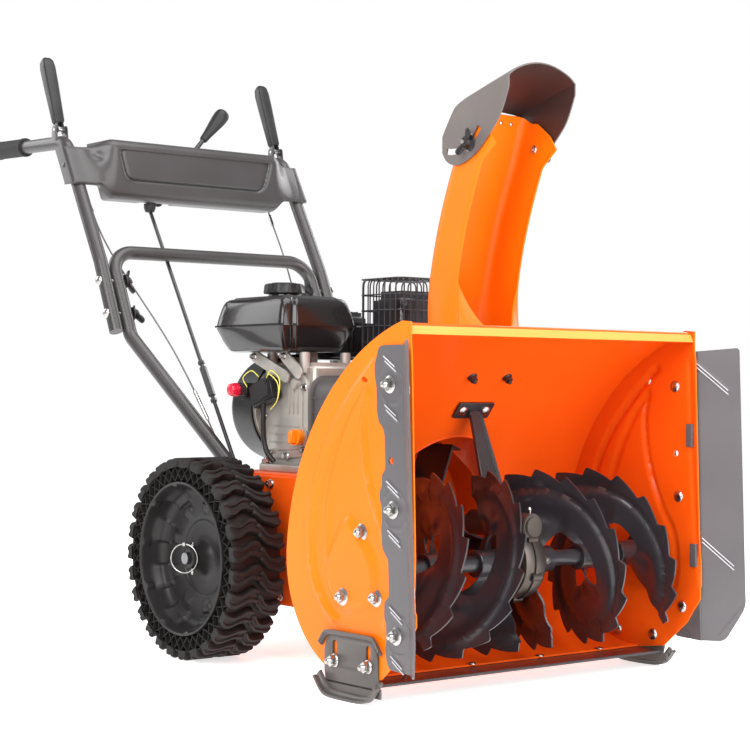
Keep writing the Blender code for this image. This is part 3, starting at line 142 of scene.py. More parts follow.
MATERIALS = {
    "orange_paint": surface("orange_powder_coat", (0.9, 0.165, 0.002), (0.97, 0.188, 0.003), 0.36,
                            coat=0.05, patch=5.0, grain=420.0, bump=0.1, specular=0.22),
    # A redder, darker copy of the orange paint: painted shade and painted bounced orange light, for the
    # housing's inside, the drum, the frame and the side plates' inward faces.
    "shaded_orange": surface("orange_paint_shaded_copy", (0.8, 0.088, 0.003), (0.88, 0.102, 0.005), 0.34,
                           coat=0.08, patch=5.0, grain=420.0, bump=0.1, specular=0.25),
    # A lighter, yellower orange for the roof lip's fold: a painted highlight.
    "lip_highlight_orange": surface("orange_lip_painted_highlight", (0.88, 0.3, 0.052), (0.94, 0.335, 0.062), 0.34, coat=0.2,
                          patch=5.0, grain=420.0, bump=0.08),
    "taupe_paint": surface("taupe_powder_coat", (0.118, 0.1, 0.094), (0.14, 0.12, 0.113), 0.42, coat=0.15,
                           grain=900.0, bump=0.22),
    # Dark brown for the hood's inside: painted shade over the taupe paint.
    "hood_painted_shade": surface("painted_shade_hood_coat", (0.034, 0.017, 0.015), (0.046, 0.023, 0.02), 0.46,
                           grain=900.0, bump=0.2),
    "handle_paint": surface("handle_powder_coat", (0.033, 0.029, 0.029), (0.044, 0.038, 0.039), 0.36,
                            coat=0.18, grain=900.0, bump=0.06),
    "shoe_paint": surface("shoe_powder_coat", (0.072, 0.063, 0.058), (0.09, 0.079, 0.073), 0.42,
                          coat=0.12, grain=900.0, bump=0.2),
    "grey_paint": surface("grey_powder_coat", (0.08, 0.073, 0.077), (0.096, 0.088, 0.093), 0.36,
                          coat=0.25, grain=900.0, bump=0.18),
    # Pale grey for thin rods on the wings' pressed ridges: a painted highlight.
    "ridge_highlight_paint": surface("painted_ridge_highlight", (0.5, 0.49, 0.52), (0.62, 0.61, 0.64), 0.3, coat=0.4,
                          grain=900.0, bump=0.1),
    "black_steel": surface("black_painted_steel", (0.016, 0.014, 0.017), (0.026, 0.023, 0.027), 0.33,
                           coat=0.35, grain=500.0, bump=0.12),
    # Light metallic grey for the augers' cut edges: a painted highlight along the edges.
    "cut_edge": surface("steel_edge_painted_highlight", (0.36, 0.35, 0.36), (0.52, 0.51, 0.52), 0.35, metallic=0.8,
                        grain=1200.0),
    "bare_steel": surface("machined_steel", (0.3, 0.3, 0.31), (0.42, 0.42, 0.43), 0.3, metallic=1.0,
                          grain=1500.0, stretch=(6.0, 1.0, 1.0)),
    "zinc_steel": surface("zinc_plate", (0.4, 0.39, 0.38), (0.56, 0.55, 0.53), 0.25, metallic=1.0,
                          patch=60.0, grain=1400.0),
    "cast_aluminium": surface("sand_cast_aluminium", (0.4, 0.38, 0.345), (0.52, 0.49, 0.45), 0.46,
                              metallic=0.65, patch=22.0, grain=650.0, bump=0.45, depth=0.0004),
    "gearbox_iron": surface("gearbox_iron", (0.07, 0.056, 0.05), (0.12, 0.1, 0.088), 0.34, metallic=0.8,
                            patch=22.0, grain=650.0, bump=0.35, depth=0.0004),
    "black_plastic": surface("black_moulded_plastic", (0.01, 0.009, 0.01), (0.017, 0.016, 0.017), 0.38,
                             grain=1300.0, bump=0.25, specular=0.38),
    "cable_sheath": surface("cable_sheath", (0.1, 0.097, 0.1), (0.14, 0.136, 0.14), 0.4, grain=1800.0,
                            bump=0.02),
    "gloss_black": surface("gloss_black_enamel", (0.006, 0.0045, 0.0048), (0.0095, 0.0075, 0.008), 0.2,
                           coat=0.35, patch=4.0, grain=300.0, bump=0.03, rough_spread=0.03,
                           specular=0.45),
    "satin_black": surface("satin_black_enamel", (0.006, 0.005, 0.0052), (0.01, 0.0085, 0.0088), 0.38,
                           patch=6.0, grain=600.0, bump=0.06, specular=0.32),
    "grey_plastic": surface("charcoal_plastic", (0.066, 0.06, 0.06), (0.084, 0.078, 0.077), 0.48,
                            grain=1100.0, bump=0.25),
    "rim_plastic": surface("rim_charcoal", (0.014, 0.012, 0.012), (0.022, 0.02, 0.02), 0.4, grain=800.0,
                           bump=0.12, specular=0.32),
    "tyre_rubber": surface("tyre_rubber", (0.006, 0.0045, 0.004), (0.012, 0.009, 0.008), 0.6, patch=16.0,
                           grain=520.0, bump=0.4, depth=0.0003, specular=0.34),
    "grip_rubber": surface("grip_rubber", (0.015, 0.014, 0.014), (0.024, 0.022, 0.022), 0.7, grain=1600.0,
                           bump=0.5),
    "red_plastic": surface("red_plastic", (0.7, 0.008, 0.04), (0.8, 0.014, 0.055), 0.28, coat=0.4,
                           grain=900.0),
    "orange_plastic": surface("orange_plastic", (0.9, 0.22, 0.004), (0.98, 0.27, 0.008), 0.34,
                              grain=900.0),
    "yellow_wire": surface("yellow_wire", (0.72, 0.7, 0.1), (0.86, 0.84, 0.16), 0.4, grain=1500.0),
    "belt_rubber": surface("belt_rubber", (0.012, 0.012, 0.012), (0.022, 0.021, 0.02), 0.8, grain=1200.0,
                           bump=0.4),
}


# ---------------------------------------------------------------- modelling tools
def new_object(name, data):
    """An object in the scene that holds this data."""
    thing = bpy.data.objects.new(name, data)
    bpy.context.scene.collection.objects.link(thing)
    return thing


def from_bmesh(name, bm, recalculate=True):
    """Turn a bmesh into an object, its faces turned outward unless told otherwise."""
    if recalculate:
        bmesh.ops.recalc_face_normals(bm, faces=bm.faces)
    mesh = bpy.data.meshes.new(name)
    bm.to_mesh(mesh)
    bm.free()
    return new_object(name, mesh)


def bake(thing):
    """Turn an object and its modifiers into a plain mesh object in world place."""
    bpy.context.view_layer.update()
    evaluated = thing.evaluated_get(bpy.context.evaluated_depsgraph_get())
    mesh = bpy.data.meshes.new_from_object(evaluated)
    mesh.transform(thing.matrix_world)
    bm = bmesh.new()
    bm.from_mesh(mesh)
    bmesh.ops.remove_doubles(bm, verts=bm.verts, dist=0.00001)
    bmesh.ops.recalc_face_normals(bm, faces=bm.faces)
    bm.to_mesh(mesh)
    bm.free()
    name = thing.name
    bpy.data.objects.remove(thing)
    return new_object(name, mesh)


def soften(thing, width, segments=2, angle=40):
    """Round every sharp edge by a small width."""
    bevel = thing.modifiers.new("soften", "BEVEL")
    bevel.width = width
    bevel.segments = segments
    bevel.limit_method = "ANGLE"
    bevel.angle_limit = math.radians(angle)
    bevel.harden_normals = False
    return bake(thing)


def boolean(target, tools, operation):
    """Join tools to a target, or cut them from it."""
    for tool in tools:
        modifier = target.modifiers.new(operation, "BOOLEAN")
        modifier.operation = operation
        modifier.solver = "EXACT"
        modifier.object = tool
    result = bake(target)
    for tool in tools:
        bpy.data.objects.remove(tool)
    return result


def join(target, *tools):
    """The target with the tools added to it."""
    return boolean(target, tools, "UNION")


def cut(target, *tools):
    """The target with the tools taken away."""
    return boolean(target, tools, "DIFFERENCE")


def merge(parts):
    """Put several meshes into one object, each left as its own shell."""
    bm = bmesh.new()
    for part in parts:
        bm.from_mesh(part.data)
        bpy.data.objects.remove(part)
    return from_bmesh("merged", bm, recalculate=False)


def moved(thing, matrix):
    """The same object, its mesh moved by a matrix."""
    thing.data.transform(matrix)
    return thing


def mirrored(thing, name):
    """A mirror image across the machine's middle plane."""
    mesh = thing.data.copy()
    mesh.transform(Matrix.Diagonal((-1.0, 1.0, 1.0, 1.0)))
    mesh.flip_normals()
    return new_object(name, mesh)


def block(low, high, bevel=0.0, segments=3):
    """A box between two corners with rounded edges."""
    low, high = Vector(low), Vector(high)
    bm = bmesh.new()
    matrix = Matrix.Translation((low + high) / 2) @ Matrix.Diagonal((*(high - low), 1.0))
    bmesh.ops.create_cube(bm, size=1.0, matrix=matrix)
    if bevel:
        bmesh.ops.bevel(bm, geom=bm.edges[:], offset=bevel, segments=segments, affect="EDGES")
    return from_bmesh("block", bm)


def facing(axis):
    """The turn that points Z along an axis."""
    return Vector(axis).to_track_quat("Z", "Y").to_matrix().to_4x4()


def rod(start, end, radius, end_radius=None, segments=32, bevel=0.0):
    """A cylinder or cone between two points, its rims rounded."""
    start, end = Vector(start), Vector(end)
    direction = end - start
    bm = bmesh.new()
    bmesh.ops.create_cone(bm, cap_ends=True, segments=segments, radius1=radius,
                          radius2=radius if end_radius is None else end_radius, depth=direction.length,
                          matrix=Matrix.Translation((start + end) / 2) @ facing(direction))
    if bevel:
        rims = [edge for edge in bm.edges if any(len(face.verts) > 4 for face in edge.link_faces)]
        bmesh.ops.bevel(bm, geom=rims, offset=bevel, segments=2, affect="EDGES")
    return from_bmesh("rod", bm)


AXES = {"X": Matrix(((0, 0, 1), (0, 1, 0), (-1, 0, 0))).to_4x4(),
        "Y": Matrix(((1, 0, 0), (0, 0, 1), (0, -1, 0))).to_4x4(),
        "Z": Matrix.Identity(4)}


def turned(profile, axis, centre, steps=48, closed=True):
    """Turn a profile of (radius, distance along the axis) points about an axis."""
    bm = bmesh.new()
    verts = [bm.verts.new((radius, 0.0, along)) for radius, along in profile]
    ends = verts[1:] + verts[:1] if closed else verts[1:]
    for first, second in zip(verts, ends):
        bm.edges.new((first, second))
    thing = from_bmesh("turned", bm, recalculate=False)
    screw = thing.modifiers.new("turn", "SCREW")
    screw.steps = steps
    screw.render_steps = steps
    screw.use_merge_vertices = True
    screw.merge_threshold = 0.00001
    thing.matrix_world = Matrix.Translation(centre) @ AXES[axis]
    return bake(thing)


PLANES = {"YZ": Matrix(((0, 0, 1), (1, 0, 0), (0, 1, 0))).to_4x4(),
          "XZ": Matrix(((1, 0, 0), (0, 0, -1), (0, 1, 0))).to_4x4(),
          "XY": Matrix.Identity(4)}


def plate(outline, plane, offset, thickness, holes=(), bevel=0.0004):
    """A flat plate in a plane with rounded rims; offset places its middle along the normal."""
    curve = bpy.data.curves.new("plate", "CURVE")
    curve.dimensions = "2D"
    curve.fill_mode = "BOTH"
    curve.extrude = thickness / 2 - bevel
    curve.offset = -bevel
    curve.bevel_depth = bevel
    curve.bevel_resolution = 1
    for loop in (outline, *holes):
        spline = curve.splines.new("POLY")
        spline.points.add(len(loop) - 1)
        for point, (u, v) in zip(spline.points, loop):
            point.co = (u, v, 0.0, 1.0)
        spline.use_cyclic_u = True
    thing = new_object("plate", curve)
    thing.matrix_world = PLANES[plane] @ Matrix.Translation((0.0, 0.0, offset))
    return bake(thing)


def tube(points, radius, resolution=5, closed=False):
    """A round wire or tube along a list of points."""
    curve = bpy.data.curves.new("tube", "CURVE")
    curve.dimensions = "3D"
    curve.bevel_depth = radius
    curve.bevel_resolution = resolution
    curve.use_fill_caps = True
    spline = curve.splines.new("POLY")
    spline.points.add(len(points) - 1)
    for point, co in zip(spline.points, points):
        point.co = (*co, 1.0)
    spline.use_cyclic_u = closed
    return bake(new_object("tube", curve))


def sheet(rows, thickness, offset=0.0, closed=False, bevel=0.0, rim=False, skip=(), even=True):
    """A bent sheet through rows of points; rim marks its cut edges with the second material.

    skip holds (row, column) pairs of faces that are left open.
    """
    bm = bmesh.new()
    grid = [[bm.verts.new(point) for point in row] for row in rows]
    columns = len(rows[0]) if closed else len(rows[0]) - 1
    for i in range(len(rows) - 1):
        for j in range(columns):
            k = (j + 1) % len(rows[0])
            if (i, j) not in skip:
                bm.faces.new((grid[i][j], grid[i][k], grid[i + 1][k], grid[i + 1][j]))
    bmesh.ops.remove_doubles(bm, verts=bm.verts, dist=0.00001)
    bmesh.ops.delete(bm, geom=[vert for vert in bm.verts if not vert.link_faces], context="VERTS")
    thing = from_bmesh("sheet", bm, recalculate=False)
    for _ in range(2 if rim else 1):
        thing.data.materials.append(None)
    solidify = thing.modifiers.new("thickness", "SOLIDIFY")
    solidify.thickness = thickness
    solidify.offset = offset
    solidify.use_even_offset = even
    solidify.material_offset_rim = 1 if rim else 0
    if bevel:
        return soften(thing, bevel, segments=1, angle=55)
    return bake(thing)


def relief(outline, place, thickness, spacing, holes=(), bevel=0.0):
    """A pressed sheet: the flat outline is filled with a fine mesh, and place lifts each point.

    place takes (u, v, depth) and returns a point in space, where depth is 0 on the face and the
    thickness on the far side.
    """
    loops = [outline, *holes]
    points, edges = [], []
    for loop in loops:
        dense = []
        for (u0, v0), (u1, v1) in zip(loop, loop[1:] + loop[:1]):
            pieces = max(1, round(math.hypot(u1 - u0, v1 - v0) / spacing))
            dense += [(u0 + (u1 - u0) * k / pieces, v0 + (v1 - v0) * k / pieces) for k in range(pieces)]
        first = len(points)
        points += dense
        edges += [(first + k, first + (k + 1) % len(dense)) for k in range(len(dense))]
    rim_count = len(points)
    us, vs = [p[0] for p in outline], [p[1] for p in outline]
    for j in range(1, int((max(vs) - min(vs)) / spacing) + 1):
        v = min(vs) + j * spacing
        shift = 0.25 * spacing * (1 if j % 2 else -1)
        for i in range(1, int((max(us) - min(us)) / spacing) + 1):
            u = min(us) + i * spacing + shift
            if inside((u, v), outline) and not any(inside((u, v), hole) for hole in holes):
                if all(abs(u - p[0]) + abs(v - p[1]) > 0.6 * spacing for p in points[:rim_count]):
                    points.append((u, v))
    flat = [Vector(p) for p in points]
    verts, _, faces, *_ = geometry.delaunay_2d_cdt(flat, edges, [], 1, 1e-7)
    faces = [f for f in faces
             if not any(inside(middle_of([verts[i] for i in f]), hole) for hole in holes)]
    bm = bmesh.new()
    front = [bm.verts.new(place(v[0], v[1], 0.0)) for v in verts]
    rear = [bm.verts.new(place(v[0], v[1], thickness)) for v in verts]
    sides = {}
    for face in faces:
        bm.faces.new([front[i] for i in face])
        bm.faces.new([rear[i] for i in reversed(face)])
        for a, b in zip(face, face[1:] + face[:1]):
            sides[(a, b)] = sides.get((a, b), 0) + 1
    for a, b in sides:
        if (b, a) not in sides:
            bm.faces.new((front[b], front[a], rear[a], rear[b]))
    thing = from_bmesh("relief", bm)
    if bevel:
        return soften(thing, bevel, segments=1, angle=60)
    return thing


def inside(point, loop):
    """Whether a point of the plane lies in a closed outline."""
    u, v = point
    odd = False
    for (u0, v0), (u1, v1) in zip(loop, loop[1:] + loop[:1]):
        if (v0 > v) != (v1 > v) and u < u0 + (v - v0) * (u1 - u0) / (v1 - v0):
            odd = not odd
    return odd


def middle_of(points):
    """Mean of a few points of the plane."""
    return (sum(p[0] for p in points) / len(points), sum(p[1] for p in points) / len(points))


def distance_to(line, u, v):
    """Distance from a point to a polyline in the plane."""
    best = 1.0
    for (u0, v0), (u1, v1) in zip(line, line[1:]):
        du, dv = u1 - u0, v1 - v0
        t = max(0.0, min(1.0, ((u - u0) * du + (v - v0) * dv) / (du * du + dv * dv)))
        best = min(best, math.hypot(u - u0 - t * du, v - v0 - t * dv))
    return best


def ease(t):
    """A smooth step from 0 to 1."""
    t = max(0.0, min(1.0, t))
    return t * t * (3 - 2 * t)


def bead(line, u, v, width, height):
    """Height of a pressed bead that follows a line."""
    return height * ease(1.0 - distance_to(line, u, v) / width)


def curve_through(points, steps=6, closed=False):
    """A smooth line through points, by Catmull-Rom."""
    count = len(points)
    spans = count if closed else count - 1
    line = []
    for i in range(spans):
        if closed:
            quad = [points[(i + k - 1) % count] for k in range(4)]
        else:
            quad = [points[max(0, min(count - 1, i + k - 1))] for k in range(4)]
        p0, p1, p2, p3 = quad
        for s in range(steps):
            t = s / steps
            line.append(tuple(0.5 * (2 * b + (c - a) * t + (2 * a - 5 * b + 4 * c - d) * t * t
                                     + (3 * b - a - 3 * c + d) * t ** 3)
                              for a, b, c, d in zip(p0, p1, p2, p3)))
    if not closed:
        line.append(tuple(points[-1]))
    return line


def arc(centre, radius, start, end, count):
    """Points along a circular arc, both ends included."""
    angles = [start + (end - start) * i / count for i in range(count + 1)]
    return [(centre[0] + radius * math.cos(a), centre[1] + radius * math.sin(a)) for a in angles]


def circle(centre, radius, count=32):
    """Points round a full circle."""
    return arc(centre, radius, 0.0, math.tau, count)[:-1]


def oblong(u0, v0, u1, v1):
    """The four corners of a rectangle between two opposite ones."""
    return [(u0, v0), (u1, v0), (u1, v1), (u0, v1)]


def rounded(outline, radius, steps=5):
    """A closed outline with its corners rounded; radius may be one number or one for each corner."""
    radii = radius if isinstance(radius, (list, tuple)) else [radius] * len(outline)
    line = []
    for i, corner in enumerate(outline):
        before, after = Vector(outline[i - 1]), Vector(outline[(i + 1) % len(outline)])
        corner = Vector(corner)
        reach = min(radii[i], (before - corner).length * 0.49, (after - corner).length * 0.49)
        entry = corner + (before - corner).normalized() * reach
        leave = corner + (after - corner).normalized() * reach
        for k in range(steps + 1):
            t = k / steps
            point = entry * (1 - t) ** 2 + corner * 2 * t * (1 - t) + leave * t ** 2
            line.append((point.x, point.y))
    return line


def dress(thing, name, finish, replaces=(), body="frame", edge=None, angle=38):
    """Name a piece, give it its material, and hang it on its CAD body."""
    thing.name = name
    thing.data.name = name
    thing.data.materials.clear()
    thing.data.materials.append(MATERIALS[finish])
    if edge:
        thing.data.materials.append(MATERIALS[edge])
    thing.data.shade_smooth()
    thing.data.set_sharp_from_angle(angle=math.radians(angle))
    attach(thing, body)
    if replaces:
        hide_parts(*replaces)
    return thing


# ---------------------------------------------------------------- fasteners
NUT_TOP, THREAD_PITCH = 0.0085, 0.0013


def fastener(place, axis, radius=0.0085, stand=0.016, washer=0.0125, thread=True):
    """A flanged hex nut on its threaded stud, standing along an axis from a face."""
    parts = [turned([(0.0, 0.0), (washer, 0.0), (washer, 0.001), (radius * 1.05, 0.0024), (0.0, 0.0024)],
                    "Z", (0, 0, 0), steps=28, closed=False)]
    parts.append(rod((0, 0, 0.0018), (0, 0, NUT_TOP), radius, segments=6, bevel=0.0006))
    stud_radius = radius * 0.52
    profile = [(0.0, 0.008), (stud_radius, 0.008)]
    if thread:
        for k in range(int((stand - NUT_TOP) / THREAD_PITCH)):
            base = NUT_TOP + THREAD_PITCH * k
            profile += [(stud_radius, base), (stud_radius * 0.86, base + THREAD_PITCH / 2)]
    profile += [(stud_radius * 0.9, stand - 0.0006), (stud_radius * 0.7, stand), (0.0, stand)]
    parts.append(turned(profile, "Z", (0, 0, 0), steps=20, closed=False))
    return moved(merge(parts), Matrix.Translation(place) @ facing(axis))


def plain_nut(place, axis, radius, stand, washer):
    """A small nut whose stud shows no thread."""
    return fastener(place, axis, radius, stand, washer, thread=False)


def carriage_head(place, axis, radius=0.0095, height=0.0045):
    """A domed bolt head lying on a face."""
    angles = [math.pi / 2 * k / 7 for k in range(1, 8)]
    crown = [(radius * math.sin(a), height * math.cos(a)) for a in angles]
    dome = turned([(0.0, height), *crown, (0.0, -0.0002)], "Z", (0, 0, 0), steps=28, closed=False)
    return moved(dome, Matrix.Translation(place) @ facing(axis))


def wing_knob(place, axis, roll):
    """A two-winged nut standing along an axis, turned by a roll in degrees."""
    hub = [(0.0, 0.0), (0.012, 0.0), (0.0124, 0.0012), (0.0124, 0.0034), (0.0092, 0.0048),
           (0.0086, 0.0105), (0.007, 0.0125), (0.0, 0.0125)]
    stations = ((0.004, 0.006, 0.0034, 0.0075), (0.01, 0.0064, 0.003, 0.0095),
                (0.016, 0.0072, 0.0026, 0.012), (0.0205, 0.0066, 0.0022, 0.0138),
                (0.0225, 0.004, 0.0018, 0.0146))
    angles = [math.tau * k / 12 for k in range(12)]
    parts = [turned(hub, "Z", (0, 0, 0), steps=40, closed=False)]
    for way in (-1, 1):
        parts.append(swept([[(way * reach, half * math.cos(a), lift + thick * math.sin(a)) for a in angles]
                            for reach, half, thick, lift in stations]))
    turn = Matrix.Translation(place) @ facing(axis) @ Matrix.Rotation(math.radians(roll), 4, "Z")
    return moved(merge(parts), turn)


# ---------------------------------------------------------------- auger housing
def housing_arcs(offset, count):
    """The housing's profile in (Y, height), from the bowl's foot to the roof's end."""
    bowl = arc(BOWL, BOWL_RADIUS + offset, -math.pi / 2, ROOF_START, count)
    roof = arc(ROOF, ROOF_RADIUS + offset, ROOF_START, ROOF_END, count)
    return bowl + roof[1:]


def make_housing():
    """The bent back-and-roof sheet with its lip, the seam round the drum, and its bolts."""
    lip, corner = back(LIP_DISTANCE), 0.0045
    width = HALF_WIDTH - SHEET - 0.0004
    line = [(back(0.085), BOWL_Z - BOWL_RADIUS - SHEET / 2)]
    line += housing_arcs(SHEET / 2, 26)[1:]
    top = ROOF_TOP + SHEET / 2
    roof_end, fold = line[-1][0], lip + SHEET / 2 + corner
    line += [(roof_end + (fold + 0.006 - roof_end) * k / 4, top) for k in range(1, 4)]
    line += arc((fold + 0.006, top - corner), corner, math.pi / 2, 0.86 * math.pi, 6)
    line += [(lip + SHEET / 2, ROOF_TOP - 0.0135)]
    columns = 24
    rows = [[(width * (2 * j / columns - 1), y, z) for j in range(columns + 1)] for y, z in line]
    shell = sheet(rows, SHEET, bevel=0.0005)
    mouth = DRUM_RADIUS - SHEET
    shell = cut(shell, rod((0, back(0.1), IMPELLER_Z), (0, back(0.34), IMPELLER_Z), mouth, segments=96))
    # The housing skin takes the shaded orange copy: painted shade and bounced light.
    dress(shell, "auger_housing_skin", "shaded_orange", ["auger_housing"])
    # A thin strip in the lighter lip orange along the fold paints the lip's highlight.
    strip_top, strip_low = top - 0.0016, ROOF_TOP - 0.0128
    face = [(fold + 0.0014, strip_top), (fold - 0.001, strip_top - 0.0026), (lip - 0.0006, strip_low)]
    dress(sheet([[(-width, y, z), (width, y, z)] for y, z in face], 0.0004), "roof_lip_highlight_strip",
          "lip_highlight_orange")
    seam = []
    for k in range(97):
        angle = math.tau * k / 96
        x, z = mouth * math.cos(angle), IMPELLER_Z + mouth * math.sin(angle)
        seam.append((x, wall_y(z) - 0.0004, z))
    # The seam takes the shaded orange copy too: painted shade.
    dress(tube(seam, 0.0013, 3), "drum_mouth_seam", "shaded_orange")
    bolt_z = 0.463
    bolt_y = wall_y(bolt_z)
    normal = Vector((0.0, ROOF[0] - bolt_y, ROOF[1] - bolt_z)).normalized()
    bolts = [plain_nut(Vector((x, bolt_y, bolt_z)), normal, 0.0068, 0.0125, 0.0082)
             for x in (-0.045, 0.027)]
    dress(merge(bolts), "housing_wall_bolts", "black_steel")
    rivets = [carriage_head((x, back(0.088), BOWL_Z - BOWL_RADIUS + 0.0004), (0, 0, 1), 0.0075, 0.003)
              for x in (-0.2, -0.07, 0.07, 0.2)]
    dress(merge(rivets), "scraper_bolts", "zinc_steel")


def wall_y(z, inset=0.0):
    """Y of the inside of the housing's back wall at a height."""
    if z > BOWL_Z + BOWL_RADIUS * math.sin(ROOF_START):
        centre, radius = ROOF, ROOF_RADIUS - inset
    else:
        centre, radius = BOWL, BOWL_RADIUS - inset
    return centre[0] + math.sqrt(max(radius ** 2 - (z - centre[1]) ** 2, 0.0))


OUTER_BEAD = curve_through([(0.047, 0.478), (0.085, 0.446), (0.122, 0.407), (0.154, 0.367), (0.18, 0.317),
                            (0.194, 0.26), (0.196, 0.206), (0.186, 0.166), (0.163, 0.131),
                            (0.134, 0.108)])
FRONT_BEAD = [(-0.022, 0.487), (-0.029, 0.326), (-0.037, 0.213), (-0.047, 0.14)]
POCKET_FRONT = curve_through([(0.066, 0.438), (0.072, 0.412), (0.073, 0.38), (0.066, 0.335),
                              (0.052, 0.292), (0.034, 0.255), (0.014, 0.222), (0.006, 0.19),
                              (0.006, 0.15), (0.02, 0.112)])
POCKET_REAR = curve_through([(0.066, 0.438), (0.096, 0.404), (0.126, 0.352), (0.148, 0.294),
                             (0.156, 0.245), (0.158, 0.2)])
BOSS = curve_through([(0.106, 0.262), (0.073, 0.236), (0.047, 0.207), (0.038, 0.172), (0.046, 0.143),
                      (0.075, 0.126), (0.11, 0.122), (0.14, 0.138), (0.156, 0.166), (0.154, 0.198),
                      (0.136, 0.232)], closed=True)


def plate_press(distance, z):
    """How far the pressed side plate stands out from flat."""
    height = bead(OUTER_BEAD, distance, z, 0.0095, 0.006)
    height = max(height, bead(FRONT_BEAD, distance, z, 0.006, 0.0034))
    height = max(height, bead(POCKET_FRONT, distance, z, 0.008, 0.0046))
    height = max(height, bead(POCKET_REAR, distance, z, 0.01, 0.0036))
    rim = distance_to(BOSS + BOSS[:1], distance, z)
    if inside((distance, z), BOSS):
        height = max(height, 0.0012) + 0.0046 * ease(rim / 0.009)
    return height


def make_side_plates():
    """Both pressed side plates with the bolts that go through them."""
    front_top = (-0.044 + lean(0.49), 0.49)
    arcs = [(y - COLUMN_Y, z) for y, z in housing_arcs(SHEET + 0.003, 30)]
    outline = [front_top, (-0.046, 0.118), (-0.018, 0.078), (0.03, 0.0365)] + arcs[1:]
    outline += [(LIP_DISTANCE - 0.002, ROOF_TOP + SHEET + 0.001), (LIP_DISTANCE - 0.002, 0.51)]
    holes = [circle((0.006, 0.344), 0.005, 16), circle((0.067, 0.457), 0.004, 14)]

    def place(u, v, depth):
        press = plate_press(u, v)
        for z in WING_BOLTS:
            press *= ease((math.hypot(u - lean(z), v - z) - 0.01) / 0.008)
        for distance in SHOE_BOLTS:
            press *= ease((math.hypot(u - distance, v - SHOE_BOLT_Z) - 0.012) / 0.01)
        if 0.012 < u < 0.178 and v < 0.108:
            press *= ease((v - 0.106) / 0.004)
        press = min(press, 0.0028 + 0.004 * ease((u - lean(v) - 0.036) / 0.01))
        return (-HALF_WIDTH - press + depth, back(u), v)

    right = relief(outline, place, SHEET, 0.0042, holes, bevel=0.0006)
    left = mirrored(right, "left")
    for skin, side, word in ((left, 1, "left"), (right, -1, "right")):
        # The inward faces of each side plate take the second, shaded orange: painted shade.
        dress(skin, "side_plate_skin_" + word, "orange_paint", ["side_plate_" + word], edge="shaded_orange")
        for face in skin.data.polygons:
            face.material_index = 1 if face.normal.x * side < -0.3 else 0
    for side, word in SIDES:
        outside, studs = [], []
        for distance, z in BEARING_BOLTS:
            stand = -plate_press(distance, z)
            outside.append(fastener((side * (HALF_WIDTH - stand), back(distance), z), (side, 0, 0),
                                    stand=0.0135))
        for z in WING_BOLTS:
            outside.append(fastener((side * (HALF_WIDTH + 0.0038), back(lean(z)), z), (side, 0, 0),
                                    stand=0.015))
            studs.append(carriage_head((side * (HALF_WIDTH - SHEET), back(lean(z)), z), (-side, 0, 0)))
        for distance in SHOE_BOLTS:
            outside.append(fastener((side * (HALF_WIDTH + 0.0048), back(distance), SHOE_BOLT_Z),
                                    (side, 0, 0), stand=0.016, washer=0.0104))
            studs.append(carriage_head((side * (HALF_WIDTH - SHEET), back(distance), SHOE_BOLT_Z),
                                       (-side, 0, 0)))
        dress(merge(outside), "side_nuts_" + word, "zinc_steel")
        dress(merge(studs), "side_bolt_heads_" + word, "zinc_steel")


# ---------------------------------------------------------------- extension wings
WING_BEND = -0.033
PANEL_RIDGES, RIDGE_STEPS = (0.488, 0.214), (0.0, 0.0062)


def wing_flange_outline():
    """Edge of the flange in (distance from the leaning bolt line, height): lobes round the bolts."""
    return [(0.01, 0.505), (0.0235, 0.503), (0.029, 0.49), (0.0345, 0.478), (0.0345, 0.462),
            (0.031, 0.446), (0.0315, 0.414), (0.0285, 0.398), (0.019, 0.39), (0.0155, 0.38),
            (0.0155, 0.331), (0.024, 0.324), (0.025, 0.306), (0.03, 0.301), (0.03, 0.288),
            (0.0265, 0.282), (0.0265, 0.258), (0.0285, 0.25), (0.027, 0.222), (0.02, 0.212),
            (0.0145, 0.207), (0.014, 0.155), (0.025, 0.147), (0.026, 0.124), (0.0225, 0.118),
            (0.0225, 0.094), (0.026, 0.082), (0.023, 0.064), (0.017, 0.054)]


def wing_slashes():
    """Pairs of short slanting lines above and below each flange bolt."""
    slashes = []
    for z in WING_BOLTS:
        for side in (1, -1):
            for step in (0.0, 0.0075):
                top = z + side * 0.034 + (0.006 - step) * 0.9
                slashes.append(((0.012 - step * 0.4, top), (-0.012 - step * 0.4, top - 0.015)))
    return slashes


def wing_press(v, u):
    """Embossed slashes and hexagon lines round each flange bolt."""
    height = 0.0
    for line in wing_slashes():
        if abs(v - line[0][1]) < 0.03:
            height = max(height, bead(line, u, v, 0.0028, 0.0016))
    for z in WING_BOLTS:
        if abs(v - z) > 0.062:
            continue
        for side in (1, -1):
            hexagon = [(0.018, z + side * 0.016), (0.008, z + side * 0.026), (-0.016, z + side * 0.026),
                       (-0.026, z + side * 0.012)]
            height = max(height, 0.8 * bead(hexagon, u, v, 0.0022, 0.001))
    return height


